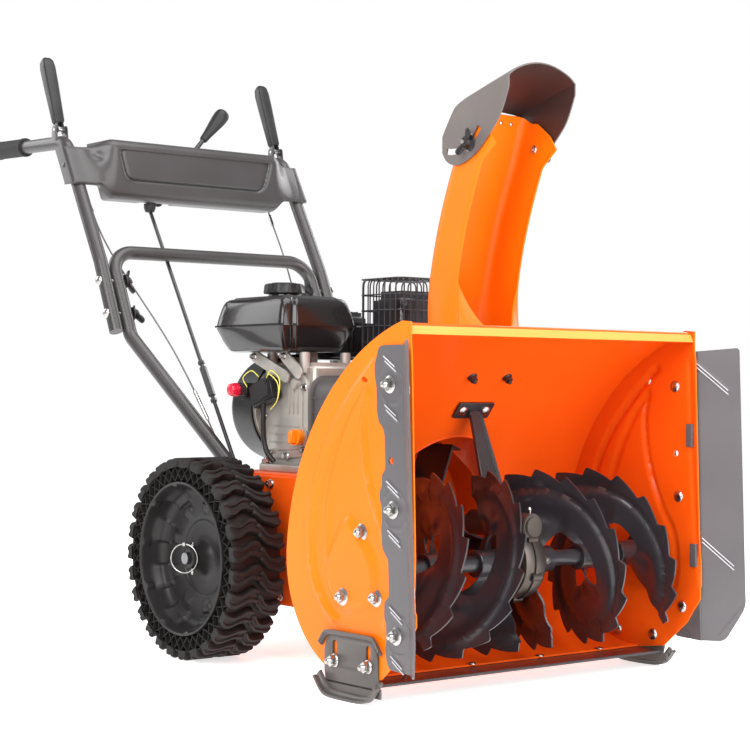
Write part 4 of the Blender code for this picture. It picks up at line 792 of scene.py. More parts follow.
def make_wings():
    """Both extension wings: bolted flange, flared panel, hook tabs, and pale rods on the pressed ridges as
    a painted highlight.
    """
    outward = math.radians(35)
    bend_x = HALF_WIDTH + 0.0004
    out = Vector((-math.sin(outward), -math.cos(outward)))
    low, high = 0.052, 0.511
    rear = wing_flange_outline()
    flange = [(WING_BEND, 0.505)] + rear + [(WING_BEND, low)]
    flange = rounded(flange, [0.001] + [0.0045] * len(rear) + [0.001], steps=3)
    hole = circle((0.006 - lean(0.344), 0.344), 0.0055, 18)

    def flange_place(u, v, depth):
        press = wing_press(v, u) * ease((u - WING_BEND - 0.001) / 0.004)
        return (-bend_x - SHEET - press + depth, back(u + lean(v)), v)

    def panel_place(u, v, depth):
        press = 0.0
        for top in PANEL_RIDGES:
            for step in RIDGE_STEPS:
                line = [(0.004, top - step), (0.056, top - 0.046 - step)]
                press = max(press, bead(line, u, v, 0.0022, 0.0014))
        fold = [(0.028, 0.06), (0.064, 0.104)]
        press = max(press, bead(fold, u, v, 0.002, 0.001))
        start = Vector((-bend_x - SHEET, back(WING_BEND + lean(v))))
        spot = start + out * u + Vector((-out.y, out.x)) * (press - depth)
        return (spot.x, spot.y, v)

    panel_outline = rounded([(0.0, low), (0.036, low), (0.0702, 0.106), (0.0732, high),
                             (0.0, high - 0.006)], [0.001, 0.01, 0.012, 0.006, 0.001])
    right_flange = relief(flange, flange_place, SHEET, 0.0024, [hole], bevel=0.0005)
    right_panel = relief(panel_outline, panel_place, SHEET, 0.0026, bevel=0.0005)
    bend = []
    for k in range(41):
        v = low + (high - 0.006 - low) * k / 40
        bend.append((-bend_x - SHEET / 2 - 0.0002, back(WING_BEND + lean(v)) - 0.0002, v))
    roll = tube(bend, SHEET / 2 + 0.0001, 4)
    tabs = []
    for tab_low, tab_high in ((0.355, 0.391), (0.167, 0.203)):
        middle = (tab_low + tab_high) / 2
        y = back(WING_BEND + lean(middle))
        rows = []
        for z in (tab_low, tab_high):
            rows.append([(-bend_x - 0.0005, y - 0.0006, z), (-HALF_WIDTH + SHEET + 0.002, y - 0.0006, z),
                         (-HALF_WIDTH + SHEET + 0.0026, y + 0.002, z),
                         (-HALF_WIDTH + SHEET + 0.0026, y + 0.0105, z)])
        tabs.append(sheet(rows, 0.0022, bevel=0.0004))
    right = merge([right_flange, right_panel, roll, *tabs])
    left = mirrored(right, "wing_left")
    # Thin pale rods laid on the pressed slashes and panel ridges paint in the ridges' highlight.
    ridges = []
    for start, end in wing_slashes():
        ends = [flange_place(*start, 0.0002), flange_place(*end, 0.0002)]
        ridges.append(rod(*ends, 0.00085, segments=10))
    for top in PANEL_RIDGES:
        for step in RIDGE_STEPS:
            ends = [panel_place(0.006, top - 0.0016 - step, 0.0002),
                    panel_place(0.054, top - 0.0442 - step, 0.0002)]
            ridges.append(rod(*ends, 0.0008, segments=10))
    bright = merge(ridges)
    dress(mirrored(bright, "ridges_left"), "wing_ridge_highlights_left", "ridge_highlight_paint")
    dress(bright, "wing_ridge_highlights_right", "ridge_highlight_paint")
    dress(left, "wing_left", "grey_paint", ["extension_wing_left"])
    dress(right, "wing_right", "grey_paint", ["extension_wing_right"])


# ---------------------------------------------------------------- skid shoes and scraper
def make_skid_shoes():
    """Both skid shoes: a slotted face with a rolled foot and a rolled top edge."""
    middle, half = 0.095, 0.076
    x = -HALF_WIDTH - 0.0004
    outline = rounded([(middle - half + 0.018, 0.02), (middle + half - 0.018, 0.02),
                       (middle + half - 0.014, 0.036), (middle + half - 0.014, 0.07),
                       (middle + half - 0.026, 0.092), (middle - half + 0.026, 0.092),
                       (middle - half + 0.014, 0.07), (middle - half + 0.014, 0.036)], 0.006)
    slots = [rounded(oblong(d - 0.005, 0.046, d + 0.005, 0.082), 0.0048)
             for d in SHOE_BOLTS]
    face = plate([(back(u), v) for u, v in outline], "YZ", x - 0.002, 0.004,
                 holes=[[(back(u), v) for u, v in slot] for slot in slots], bevel=0.0006)

    def curl(line, depth, reach):
        """A flange that rolls outward from the plate along a line of (distance, height) points."""
        rows = []
        for u, v, nu, nv in line:
            row = [(x - 0.002, back(u), v)]
            for k in range(1, 7):
                a = math.pi / 2 * k / 6
                row.append((x - 0.002 - depth * math.sin(a), back(u + nu * depth * (1 - math.cos(a))),
                            v + nv * depth * (1 - math.cos(a))))
            row.append((x - 0.002 - depth - reach, back(u + nu * depth), v + nv * depth))
            rows.append(row)
        return sheet(rows, 0.0038, bevel=0.0008)

    foot_line = []
    for u, v in curve_through([(middle - half + 0.004, 0.034), (middle - half + 0.02, 0.0165),
                               (middle - half + 0.036, 0.01), (middle, 0.0084),
                               (middle + half - 0.036, 0.01), (middle + half - 0.02, 0.0165),
                               (middle + half - 0.004, 0.034)], 6):
        foot_line.append((u, v, 0.0, -1.0))
    foot = curl(foot_line, 0.0062, 0.0085)
    top_line = []
    for u, v in curve_through([(middle - half + 0.006, 0.072), (middle - half + 0.018, 0.0865),
                               (middle - half + 0.03, 0.0902), (middle, 0.0904),
                               (middle + half - 0.03, 0.0902), (middle + half - 0.018, 0.0865),
                               (middle + half - 0.006, 0.072)], 6):
        top_line.append((u, v, 0.0, 1.0))
    crown = curl(top_line, 0.0045, 0.003)
    web = []
    for u in (middle - half + 0.008, middle, middle + half - 0.008):
        web.append([(x - 0.002, back(u), 0.01), (x - 0.002, back(u), 0.024)])
    skirt = sheet(web, 0.004, bevel=0.0006)
    right = merge([face, foot, crown, skirt])
    lowest = min(vertex.co.z for vertex in right.data.vertices)
    moved(right, Matrix.Translation((0.0, 0.0, -lowest)))
    left = mirrored(right, "shoe_left")
    dress(left, "skid_shoe_skin_left", "shoe_paint", ["skid_shoe_left"], body="left_shoe")
    dress(right, "skid_shoe_skin_right", "shoe_paint", ["skid_shoe_right"], body="right_shoe")


def make_scraper():
    """The bar along the housing's lower edge."""
    low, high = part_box("scraper_bar")
    bar = block(low, high, bevel=0.001)
    dress(bar, "scraper_blade", "black_steel", ["scraper_bar"])


# ---------------------------------------------------------------- gearbox, its strut and the augers
def make_gearbox():
    """The two-shell worm casing with its tunnel, collar, ribs and small parts."""
    y, z = back(AUGER_DISTANCE), AUGER_Z
    casing = turned([(0.0, -0.021), (0.05, -0.021), (0.0545, -0.0195), (0.056, -0.016), (0.056, -0.0035),
                     (0.0585, -0.003), (0.0585, 0.003), (0.056, 0.0035), (0.056, 0.016), (0.0545, 0.0195),
                     (0.05, 0.021), (0.0, 0.021)], "X", (0, y, z), steps=72, closed=False)
    tunnel = rod((0, back(0.03), IMPELLER_Z), (0, back(0.165), IMPELLER_Z), 0.02, segments=48,
                 bevel=0.0015)
    nose = rod((0, back(0.027), IMPELLER_Z), (0, back(0.032), IMPELLER_Z), 0.015, segments=40,
               bevel=0.001)
    collar = rod((-0.03, y, z), (0.03, y, z), 0.023, segments=48, bevel=0.001)
    ribs = []
    for k in range(6):
        angle = math.radians(20 + 60 * k)
        spot = Vector((0.0, y + 0.056 * math.cos(angle), z + 0.056 * math.sin(angle)))
        ribs.append(rod(spot - Vector((0.0095, 0, 0)), spot + Vector((0.0095, 0, 0)), 0.0062, segments=20,
                        bevel=0.0005))
    saddle = block((-0.017, back(0.08), IMPELLER_Z + 0.012), (0.017, back(0.118), IMPELLER_Z + 0.0242),
                   0.002)
    body = merge([casing, tunnel, nose, collar, *ribs, saddle])
    dress(body, "gearbox_casting", "gearbox_iron", ["auger_gearbox"])
    nipple = turned([(0.0, 0.0), (0.004, 0.0), (0.004, 0.004), (0.0026, 0.005), (0.0026, 0.01),
                     (0.0034, 0.0115), (0.0022, 0.015), (0.0, 0.0155)], "Z",
                    (0.021, back(0.06), IMPELLER_Z + 0.012), steps=16, closed=False)
    bolts = [nipple]
    for x in (-0.01, 0.01):
        bolts.append(plain_nut(Vector((x, back(0.096), IMPELLER_Z + 0.029)), (0, 0, 1), 0.006, 0.01,
                               0.008))
    dress(merge(bolts), "gearbox_bolts", "zinc_steel")


def make_strut():
    """The bent channel from the gearbox up to the housing's back wall."""
    top_z = 0.4115
    slope = Vector((0.0, wall_y(0.424) - wall_y(0.396), 0.424 - 0.396)).normalized()
    normal = Vector((0.0, -slope.z, slope.y))
    seat = Vector((0.0, wall_y(top_z, 0.003), top_z))
    outline = rounded(oblong(-0.036, -0.015, 0.036, 0.015), 0.003)
    flange = plate(outline, "XY", 0.0, SHEET, bevel=0.0005)
    turn = Matrix(((1, 0, 0), (0, slope.y, -normal.y), (0, slope.z, -normal.z))).to_4x4()
    moved(flange, Matrix.Translation(seat + normal * 0.0005) @ turn)
    foot = Vector((0.0, back(0.112), IMPELLER_Z + 0.0265))
    head = seat + normal * 0.0018
    rows = []
    for t in [k / 16 for k in range(17)]:
        spot = head.lerp(foot, t)
        half = 0.01 + 0.012 * t
        rows.append([(-half, spot.y - 0.0052, spot.z - 0.001), (-half, spot.y, spot.z),
                     (0.0, spot.y, spot.z), (half, spot.y, spot.z),
                     (half, spot.y - 0.0052, spot.z - 0.001)])
    strut = sheet(rows, 0.0028, bevel=0.0005)
    shoe = block((-0.022, back(0.08), IMPELLER_Z + 0.025), (0.022, back(0.113), IMPELLER_Z + 0.028),
                 0.0008)
    dress(merge([flange, strut, shoe]), "gearbox_strut", "black_steel", ["gearbox_support"])
    heads = [carriage_head(seat + normal * 0.002 + Vector((x, 0, 0)), normal, 0.0085, 0.004)
             for x in (-0.0235, 0.0235)]
    dress(merge(heads), "strut_bolts", "zinc_steel")


TOOTH_ANGLE, TOOTH_DEPTH = math.radians(22.5), 0.0125
RIBBON_OPENING = 0.07         # inner radius of the ribbon between its arms
HUB_RADIUS = 0.017


def auger_edge(angle):
    """Outer radius of the ribbon: saw-like steps that climb slowly and drop sharply."""
    share = (angle / TOOTH_ANGLE) % 1.0
    drop = share / 0.88 if share < 0.88 else (1 - share) / 0.12
    return AUGER_RADIUS - TOOTH_DEPTH * drop


def auger_inner(x, arms):
    """Inner radius of the ribbon: it closes to the hub at each arm, with round openings between."""
    nearest = min(abs(x - arm) for arm in arms)
    return HUB_RADIUS + (RIBBON_OPENING - HUB_RADIUS) * ease((nearest - 0.008) / 0.024) ** 0.8


def make_auger_half():
    """The left pair of toothed ribbons, half a turn apart."""
    y, z = back(AUGER_DISTANCE), AUGER_Z
    start_x, end_x, steps = 0.034, 0.246, 300
    arms = (0.05, 0.155, 0.235)
    columns = 16
    ribbons = []
    for phase in (0.0, math.pi):
        rows = []
        for i in range(steps + 1):
            x = start_x + (end_x - start_x) * i / steps
            angle = math.pi / 2 + math.tau * (x - 0.05) / AUGER_PITCH + phase
            inner, outer = auger_inner(x, arms), auger_edge(angle)
            row = []
            for j in range(columns + 1):
                r = inner + (outer - inner) * j / columns
                press = 0.005 * ease(1.0 - abs(r - 0.111) / 0.0105)
                swell = 0.0055 * ease(1.0 - abs(r - RIBBON_OPENING) / 0.022)
                press += swell * ease((0.068 - inner) / 0.03)
                row.append((x + press - 0.0015, y + r * math.cos(angle), z + r * math.sin(angle)))
            rows.append(row)
        ribbons.append(sheet(rows, 0.0026, bevel=0.0, rim=True))
    return merge(ribbons)


def make_augers():
    """Both ribbon pairs, their sleeves, the cross shaft and the shear bolts."""
    y, z = back(AUGER_DISTANCE), AUGER_Z
    left = make_auger_half()
    right = mirrored(left, "right")
    # The ribbons' cut edges take the lighter cut_edge finish: a painted highlight.
    dress(left, "auger_ribbon_left", "black_steel", ["auger_left"], body="auger", edge="cut_edge",
          angle=50)
    dress(right, "auger_ribbon_right", "black_steel", ["auger_right"], body="auger", edge="cut_edge",
          angle=50)
    for side, word in SIDES:
        sleeves = []
        for low, high in ((0.032, 0.076), (0.136, 0.176), (0.222, 0.262)):
            sleeves.append(turned([(0.013, low), (0.0196, low), (0.0205, low + 0.001),
                                   (0.0205, high - 0.001), (0.0196, high), (0.013, high)], "X", (0, y, z),
                                  steps=48))
        sleeve = merge(sleeves)
        if side < 0:
            flipped = mirrored(sleeve, "flipped")
            bpy.data.objects.remove(sleeve)
            sleeve = flipped
        dress(sleeve, "auger_sleeves_" + word, "black_steel", body="auger")
    low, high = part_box("auger_shaft")
    shaft = rod((low.x, y, z), (high.x, y, z), SHAFT_RADIUS, segments=48, bevel=0.001)
    dress(shaft, "auger_axle_bar", "black_steel", ["auger_shaft"], body="auger")
    pins = []
    for x in (-0.156, -0.05, 0.05, 0.156):
        pins.append(plain_nut((x, y - 0.02, z), (0, -1, 0), 0.0052, 0.009, 0.0066))
    dress(merge(pins), "auger_shear_bolts", "zinc_steel", body="auger")


def make_bearings():
    """A stepped cup and its seal on the inside of each side plate."""
    for side, word in SIDES:
        inner = HALF_WIDTH - SHEET - 0.0002
        profile = [(0.0136, inner), (0.0345, inner), (0.0345, inner - 0.0035), (0.03, inner - 0.005),
                   (0.029, inner - 0.0085), (0.0255, inner - 0.009), (0.025, inner - 0.0105),
                   (0.0262, inner - 0.0115), (0.025, inner - 0.0135), (0.0225, inner - 0.014),
                   (0.0222, inner - 0.0143), (0.0136, inner - 0.0143)]
        ring = turned([(r, side * x) for r, x in profile], "X", (0, back(AUGER_DISTANCE), AUGER_Z),
                      steps=56)
        dress(ring, "bearing_housing_" + word, "black_plastic", ["auger_bearing_" + word])
        seal = turned(oblong(0.0132, side * (inner - 0.0145), 0.018, side * (inner - 0.0152)), "X",
                      (0, back(AUGER_DISTANCE), AUGER_Z), steps=40)
        dress(seal, "bearing_seal_" + word, "zinc_steel")


# ---------------------------------------------------------------- wheels
LUG_COUNT, LUG_STEPS = 27, 12
LATTICE_COUNT = 44
PAD_COUNT, TAB_COUNT = 9, 10  # raised pads and flange tabs round the rim
TREAD_RADIUS = 0.1535
INNER_X = WHEEL_OUTER_X - WHEEL_WIDTH
AXLE_CENTRE = (0.0, back(WHEEL_DISTANCE), WHEEL_RADIUS)


def polar(x, radius, angle):
    """A point on the wheel at a radius and angle."""
    return (x, AXLE_CENTRE[1] + radius * math.cos(angle), AXLE_CENTRE[2] + radius * math.sin(angle))


def swept(stations):
    """A closed body through equal rings of points, capped at both ends."""
    bm = bmesh.new()
    rings = [[bm.verts.new(point) for point in ring] for ring in stations]
    for near, far in zip(rings, rings[1:]):
        for j in range(len(near)):
            k = (j + 1) % len(near)
            bm.faces.new((near[j], near[k], far[k], far[j]))
    bm.faces.new(rings[0][::-1])
    bm.faces.new(rings[-1])
    return from_bmesh("swept", bm)


def lug(start_x, end_x, angle, wave):
    """A tread bar across half of the tyre, with two ridges on top; wave bends it round the tyre."""
    section = [(-0.0124, TREAD_RADIUS - 0.002), (-0.0112, 0.1618), (-0.0098, 0.1648), (-0.005, 0.1648),
               (-0.0032, 0.1618), (0.0032, 0.1618), (0.005, 0.1648), (0.0098, 0.1648), (0.0112, 0.1618),
               (0.0124, TREAD_RADIUS - 0.002)]
    rings = []
    for i in range(LUG_STEPS + 1):
        t = i / LUG_STEPS
        x = start_x + (end_x - start_x) * t
        swell = 1.0 + 0.16 * math.sin(2.6 * math.pi * t + 0.6)
        ends = ease(min(t, 1 - t) / 0.06)
        ring = []
        for across, radius in section:
            spin = angle + (across * swell * (0.82 + 0.18 * ends) + wave(t)) / WHEEL_RADIUS
            ring.append(polar(x, min(radius, radius - 0.0022 * (1 - ends)), spin))
        rings.append(ring)
    return swept(rings)


def outer_wave(t):
    """How far a bar of the outer row bends round the tyre at a share of its length."""
    return 0.0034 * math.sin(2.3 * math.pi * t - 0.4) - 0.006 * t


def inner_wave(t):
    """The same for a bar of the inner row."""
    return 0.0026 * math.sin(2.0 * math.pi * t) - 0.018 * ease((t - 0.62) / 0.38)


def make_tyre():
    """The left tyre: casing, a lattice on each sidewall, and two rows of bars half a pitch apart."""
    wall, lip = 0.0085, 0.002
    outer, inner = WHEEL_OUTER_X - 0.004, INNER_X + 0.004
    casing = turned([(RIM_RADIUS + 0.0009, outer - wall), (TREAD_RADIUS - 0.0035, outer - wall),
                     (TREAD_RADIUS - 0.0035, outer - lip), (TREAD_RADIUS - 0.0015, outer),
                     (TREAD_RADIUS, outer - 0.003), (TREAD_RADIUS, inner + 0.003),
                     (TREAD_RADIUS - 0.0015, inner), (TREAD_RADIUS - 0.0035, inner + lip),
                     (TREAD_RADIUS - 0.0035, inner + wall), (RIM_RADIUS + 0.0009, inner + wall)],
                    "X", AXLE_CENTRE, steps=144)
    parts = [casing]
    pitch = math.tau / LATTICE_COUNT
    foot, head = RIM_RADIUS + 0.0012, TREAD_RADIUS - 0.003
    for face, back_face in ((outer - 0.0008, outer - wall - 0.001),
                            (inner + 0.0008, inner + wall + 0.001)):
        for k in range(LATTICE_COUNT):
            for lean_way in (-1, 1):
                start, end = k * pitch, (k + 0.95 * lean_way) * pitch
                rings = []
                for i in range(5):
                    t = i / 4
                    radius, spin = foot + (head - foot) * t, start + (end - start) * t
                    half = 0.00062 / radius * 1.4
                    rings.append([polar(face, radius, spin - half), polar(face, radius, spin + half),
                                  polar(back_face, radius, spin + 2.2 * half),
                                  polar(back_face, radius, spin - 2.2 * half)])
                parts.append(swept(rings))
    turn = math.tau / LUG_COUNT
    middle = (WHEEL_OUTER_X + INNER_X) / 2
    for k in range(LUG_COUNT):
        angle = k * turn
        parts.append(lug(WHEEL_OUTER_X - 0.0005, middle - 0.004, angle, outer_wave))
        parts.append(lug(INNER_X + 0.0005, middle - 0.001, angle + 0.5 * turn, inner_wave))
    return merge(parts)


def rim_profile():
    """Face of the dish from the rolled flange to the hub, as (radius, distance from the middle)."""
    corners = [(RIM_RADIUS, 0.279), (RIM_RADIUS + 0.0002, 0.2868), (0.1238, 0.2888), (0.1214, 0.2868),
               (0.12, 0.278), (0.1184, 0.266), (0.115, 0.253), (0.107, 0.2462), (0.093, 0.2438),
               (0.07, 0.2425), (0.063, 0.2408), (0.059, 0.2378), (0.044, 0.2368), (0.033, 0.2372),
               (0.0265, 0.2402), (0.0215, 0.248), (0.0185, 0.26), (0.0172, 0.27), (0.015, 0.2716)]
    return curve_through(corners, 5)


def make_rim_half():
    """The left rim: a dish with raised pads and flange tabs, its barrel, and the hub's bore."""
    line = rim_profile()
    spin_steps = 216
    rows = []
    for i, (radius, x) in enumerate(line):
        before, after = line[max(i - 1, 0)], line[min(i + 1, len(line) - 1)]
        along = Vector((after[0] - before[0], after[1] - before[1])).normalized()
        out = Vector((along.y, -along.x))
        out = out if out.y + 0.2 * (-out.x) > 0 else -out
        row = []
        for j in range(spin_steps):
            angle = math.tau * j / spin_steps
            pad_angle = abs(((angle * PAD_COUNT / math.tau) % 1.0) - 0.5)
            tab_angle = abs(((angle * TAB_COUNT / math.tau + 0.25) % 1.0) - 0.5)
            rise = 0.0056 * ease((0.3 - pad_angle) / 0.09) * band(radius, 0.0985, 0.118, 0.0035)
            rise += 0.0044 * ease((0.22 - pad_angle) / 0.08) * band(radius, 0.074, 0.09, 0.003)
            if x > 0.262:
                rise += 0.003 * ease((0.085 - tab_angle) / 0.03) * band(x, 0.272, 0.286, 0.003)
            row.append(polar(x + rise * out.y, radius + rise * out.x, angle))
        rows.append(row)
    dish = sheet(rows, 0.003, offset=-1.0, closed=True)
    barrel = turned([(0.1205, 0.27), (RIM_RADIUS + 0.0002, 0.28), (RIM_RADIUS + 0.0002, INNER_X + 0.006),
                     (0.1205, INNER_X + 0.003), (0.1185, INNER_X + 0.006), (0.1205, INNER_X + 0.014)],
                    "X", AXLE_CENTRE, steps=120)
    hub = turned([(0.01, INNER_X + 0.01), (0.02, INNER_X + 0.01), (0.0205, INNER_X + 0.012),
                  (0.0215, 0.236), (0.016, 0.242), (0.015, 0.268), (0.015, 0.2712), (0.01, 0.2712)],
                 "X", AXLE_CENTRE, steps=48)
    webs = []
    for k in range(6):
        angle = math.tau * (k + 0.5) / 6
        rings = []
        for radius in (0.018, 0.07, 0.119):
            half = 0.0016 / radius
            deep = 0.2345 if radius < 0.1 else 0.236
            low = INNER_X + 0.018 + 0.012 * (radius > 0.03)
            rings.append([polar(low, radius, angle - half), polar(low, radius, angle + half),
                          polar(deep, radius, angle + half), polar(deep, radius, angle - half)])
        webs.append(swept(rings))
    return merge([dish, barrel, hub, *webs])


def band(value, low, high, soft):
    """1 between two limits, easing to 0 outside them."""
    return ease((value - low) / soft + 0.5) * ease((high - value) / soft + 0.5)


def make_klick_ring(side):
    """A spring ring round the hub's end, turned toward the machine's front, with its pin."""
    centre = Vector((side * 0.2785, AXLE_CENTRE[1], AXLE_CENTRE[2]))
    across = Vector((-0.55 * side, -0.835, 0.0))
    loop = [centre + across * y + Vector((0, 0, z)) for y, z in circle((0, 0), 0.0235, 56)]
    ring = tube(loop, 0.00115, 4, closed=True)
    pin_x = side * (WHEEL_OUTER_X - 0.028)
    pin = rod((pin_x, centre.y, centre.z - 0.027), (pin_x, centre.y, centre.z + 0.0255), 0.0026,
              bevel=0.0006)
    eye = rod((centre.x, centre.y, centre.z + 0.0205), (centre.x, centre.y, centre.z + 0.0262), 0.0034,
              segments=20, bevel=0.0006)
    link = tube([(pin_x, centre.y, centre.z + 0.0238), (centre.x, centre.y, centre.z + 0.0238)], 0.0016,
                3)
    return merge([ring, pin, eye, link])


def make_wheels():
    """Both wheels with their tyres, dishes, spring rings and axle tips."""
    tyre, rim = make_tyre(), make_rim_half()
    right_tyre, right_rim = mirrored(tyre, "right_tyre"), mirrored(rim, "right_rim")
    dress(tyre, "tyre_tread_left", "tyre_rubber", ["tyre_left"], body="wheels")
    dress(right_tyre, "tyre_tread_right", "tyre_rubber", ["tyre_right"], body="wheels")
    dress(rim, "rim_dish_left", "rim_plastic", ["wheel_rim_left"], body="wheels")
    dress(right_rim, "rim_dish_right", "rim_plastic", ["wheel_rim_right"], body="wheels")
    for side, word in SIDES:
        dress(make_klick_ring(side), "klick_ring_" + word, "zinc_steel", ["klick_pin_" + word],
              body="wheels")
        tip = rod((side * 0.27, *AXLE_CENTRE[1:]), (side * 0.2775, *AXLE_CENTRE[1:]), 0.0095, bevel=0.001)
        dress(tip, "axle_tip_" + word, "black_steel", body="wheels")


# ---------------------------------------------------------------- chute
CHUTE_TOP = 0.885
FRONT_OPEN_LOW, FRONT_OPEN_SIDE = 0.545, 0.612


def chute_back(z):
    """Distance of the chute's back wall at a height; the wall curves forward as it rises."""
    return 0.2955 - 0.75 * max(min(z, 0.8) - 0.5, 0.0) ** 2 - 0.37 * max(z - 0.8, 0.0)


def section_point(share, blend, z):
    """A point round the chute's section: 0 and 1 are the middle of the front, 0.5 that of the back."""
    corner, half, deep = 0.016, CHUTE_HALF_WIDTH, CHUTE_DEPTH
    box = rounded([(0.0, 0.0), (half, 0.0), (half, deep), (0.0, deep), (-half, deep), (-half, 0.0)],
                  [0.0001, 0.008, corner, 0.0001, corner, 0.008], steps=7)
    lengths = [0.0]
    for first, second in zip(box, box[1:] + box[:1]):
        lengths.append(lengths[-1] + math.hypot(second[0] - first[0], second[1] - first[1]))
    wanted = share * lengths[-1]
    i = max(k for k in range(len(box)) if lengths[k] <= wanted + 1e-9)
    t = (wanted - lengths[i]) / max(lengths[i + 1] - lengths[i], 1e-9)
    first, second = box[i], box[(i + 1) % len(box)]
    front = chute_back(z) - deep
    square = (first[0] + (second[0] - first[0]) * t, front + first[1] + (second[1] - first[1]) * t)
    angle = -math.pi / 2 + math.tau * share
    ring = (CHUTE_RADIUS * math.cos(angle), CHUTE_DISTANCE + CHUTE_RADIUS * math.sin(angle))
    return (CHUTE_X + ring[0] + (square[0] - ring[0]) * blend,
            back(ring[1] + (square[1] - ring[1]) * blend))


def chute_level(share, rise):
    """Point at a share of the way round and a share of the way up, with its sloping top edge."""
    z = CHUTE_BASE_Z + 0.002 + (CHUTE_TOP - CHUTE_BASE_Z - 0.002) * rise
    blend = ease((z - 0.49) / 0.15)
    x, y = section_point(share, blend, z)
    if z > 0.8:
        behind = back(chute_back(z)) - y
        drop = (z - 0.8) / (CHUTE_TOP - 0.8)
        slope = 0.8 * behind - 0.01 * ease((behind - 0.012) / 0.02) * ease((0.075 - behind) / 0.02)
        z -= drop * slope
    return (x, y, z)


def make_chute():
    """The open-front channel, its closed foot, the turning ring and rivets."""
    side_share = 0.5 * CHUTE_HALF_WIDTH / (CHUTE_HALF_WIDTH + CHUTE_DEPTH / 2) / 2
    start, end = side_share + 0.004, 1.0 - side_share - 0.004
    columns, levels = 72, 74
    rows = []
    for i in range(levels + 1):
        rise = i / levels
        rows.append([chute_level(start + (end - start) * j / columns, rise) for j in range(columns + 1)])
    channel = sheet(rows, SHEET, bevel=0.0005)
    bib_rows = []
    bib_columns = 28
    for j in range(bib_columns + 1):
        t = j / bib_columns
        share = (end + (start + 1.0 - end) * t) % 1.0
        off = abs(2 * t - 1)
        top = FRONT_OPEN_LOW + (FRONT_OPEN_SIDE - FRONT_OPEN_LOW) * max(0.0, (off - 0.42) / 0.58) ** 1.15
        rise_top = (top - CHUTE_BASE_Z - 0.002) / (CHUTE_TOP - CHUTE_BASE_Z - 0.002)
        bib_rows.append([chute_level(share, rise_top * k / 20) for k in range(21)])
    bib = sheet(bib_rows, SHEET, bevel=0.0005)
    centre = (CHUTE_X, back(CHUTE_DISTANCE), 0.0)
    ring = turned([(CHUTE_RADIUS - 0.0012, CHUTE_BASE_Z), (0.085, CHUTE_BASE_Z),
                   (0.085, CHUTE_BASE_Z + SHEET), (CHUTE_RADIUS + 0.004, CHUTE_BASE_Z + SHEET),
                   (CHUTE_RADIUS - 0.0012, CHUTE_BASE_Z + SHEET + 0.004)], "Z", centre, steps=96)
    bolt_y, bolt_z = hood_bolt_place()
    hole = rod((CHUTE_X - 0.1, bolt_y, bolt_z), (CHUTE_X + 0.1, bolt_y, bolt_z), 0.0048, segments=24)
    channel = cut(channel, hole)
    dress(merge([channel, bib, ring]), "chute_channel", "orange_paint", ["chute"], body="chute")
    fittings = []
    rivet_y = back(chute_back(0.872)) - SHEET / 2
    for x in (0.016, 0.038, -0.016, -0.038):
        fittings.append(carriage_head((CHUTE_X + x, rivet_y, 0.872), (0, -1, 0), 0.0036, 0.0018))
    low_y = back(chute_back(0.56)) - SHEET / 2 - 0.0008
    for x in (-0.011, 0.011):
        fittings.append(carriage_head((CHUTE_X + x, low_y, 0.566), (0, -1, 0), 0.0048, 0.0026))
    dress(merge(fittings), "chute_rivets", "zinc_steel", body="chute")


def hood_bolt_place():
    """Y and Z of the bolt that runs in the hood's slot."""
    angle = math.radians(-122)
    return (back(HOOD_HINGE[0]) + HOOD_SLOT_RADIUS * math.cos(angle),
            HOOD_HINGE[1] + HOOD_SLOT_RADIUS * math.sin(angle))


def make_hood():
    """The hood: an arched sheet with slotted cheeks, its inside faces darker as painted shade."""
    half = CHUTE_HALF_WIDTH + 0.0045
    stations = curve_through([(0.242, 0.82, 0.848), (0.232, 0.806, 0.864), (0.2135, 0.798, 0.889),
                              (0.19, 0.8, 0.901), (0.16, 0.814, 0.91), (0.13, 0.84, 0.918),
                              (0.105, 0.868, 0.924), (0.087, 0.908, 0.928)], 4)
    arch_steps, side_steps = 22, 12
    rows, open_faces = [], set()
    for i, (distance, low, high) in enumerate(stations):
        forward = max(0.0, min((0.2135 - distance) / 0.1265, 1.0))
        crown = 0.004 + 0.018 * forward
        flank = [low + (high - 0.0025 - low) * k / side_steps for k in range(side_steps)]
        arch = []
        for k in range(arch_steps + 1):
            t = 2 * k / arch_steps - 1
            round_off = 0.01 * ease((abs(t) - 0.8) / 0.2) ** 2
            arch.append((half * t, high + crown * (1 - t * t) - 0.25 * round_off))
        row = [(-half, z) for z in flank] + arch + [(half, z) for z in reversed(flank)]
        rows.append([(CHUTE_X + x, back(distance), z) for x, z in row])
        if distance > 0.218:
            open_faces.update((i, side_steps + k) for k in range(arch_steps))
    hood = sheet(rows, 0.0025, skip=open_faces)
    hinge_y = back(HOOD_HINGE[0])
    slot_angles = (math.radians(-148), math.radians(-76))
    centre = (hinge_y, HOOD_HINGE[1])
    outer = arc(centre, HOOD_SLOT_RADIUS + 0.0048, *slot_angles, 18)
    inner = arc(centre, HOOD_SLOT_RADIUS - 0.0048, *slot_angles, 18)
    slot = plate(outer + inner[::-1], "YZ", CHUTE_X, 0.3, bevel=0.0)
    hood = cut(hood, slot)
    dress(hood, "hood_flap", "taupe_paint", ["chute_hood"], body="hood", edge="hood_painted_shade")
    # Faces turned toward the hood's inside take the dark finish: painted shade.
    heart = Vector((CHUTE_X, hinge_y, 0.855))
    for face in hood.data.polygons:
        face.material_index = 1 if (face.center - heart).normalized().dot(face.normal) < -0.2 else 0


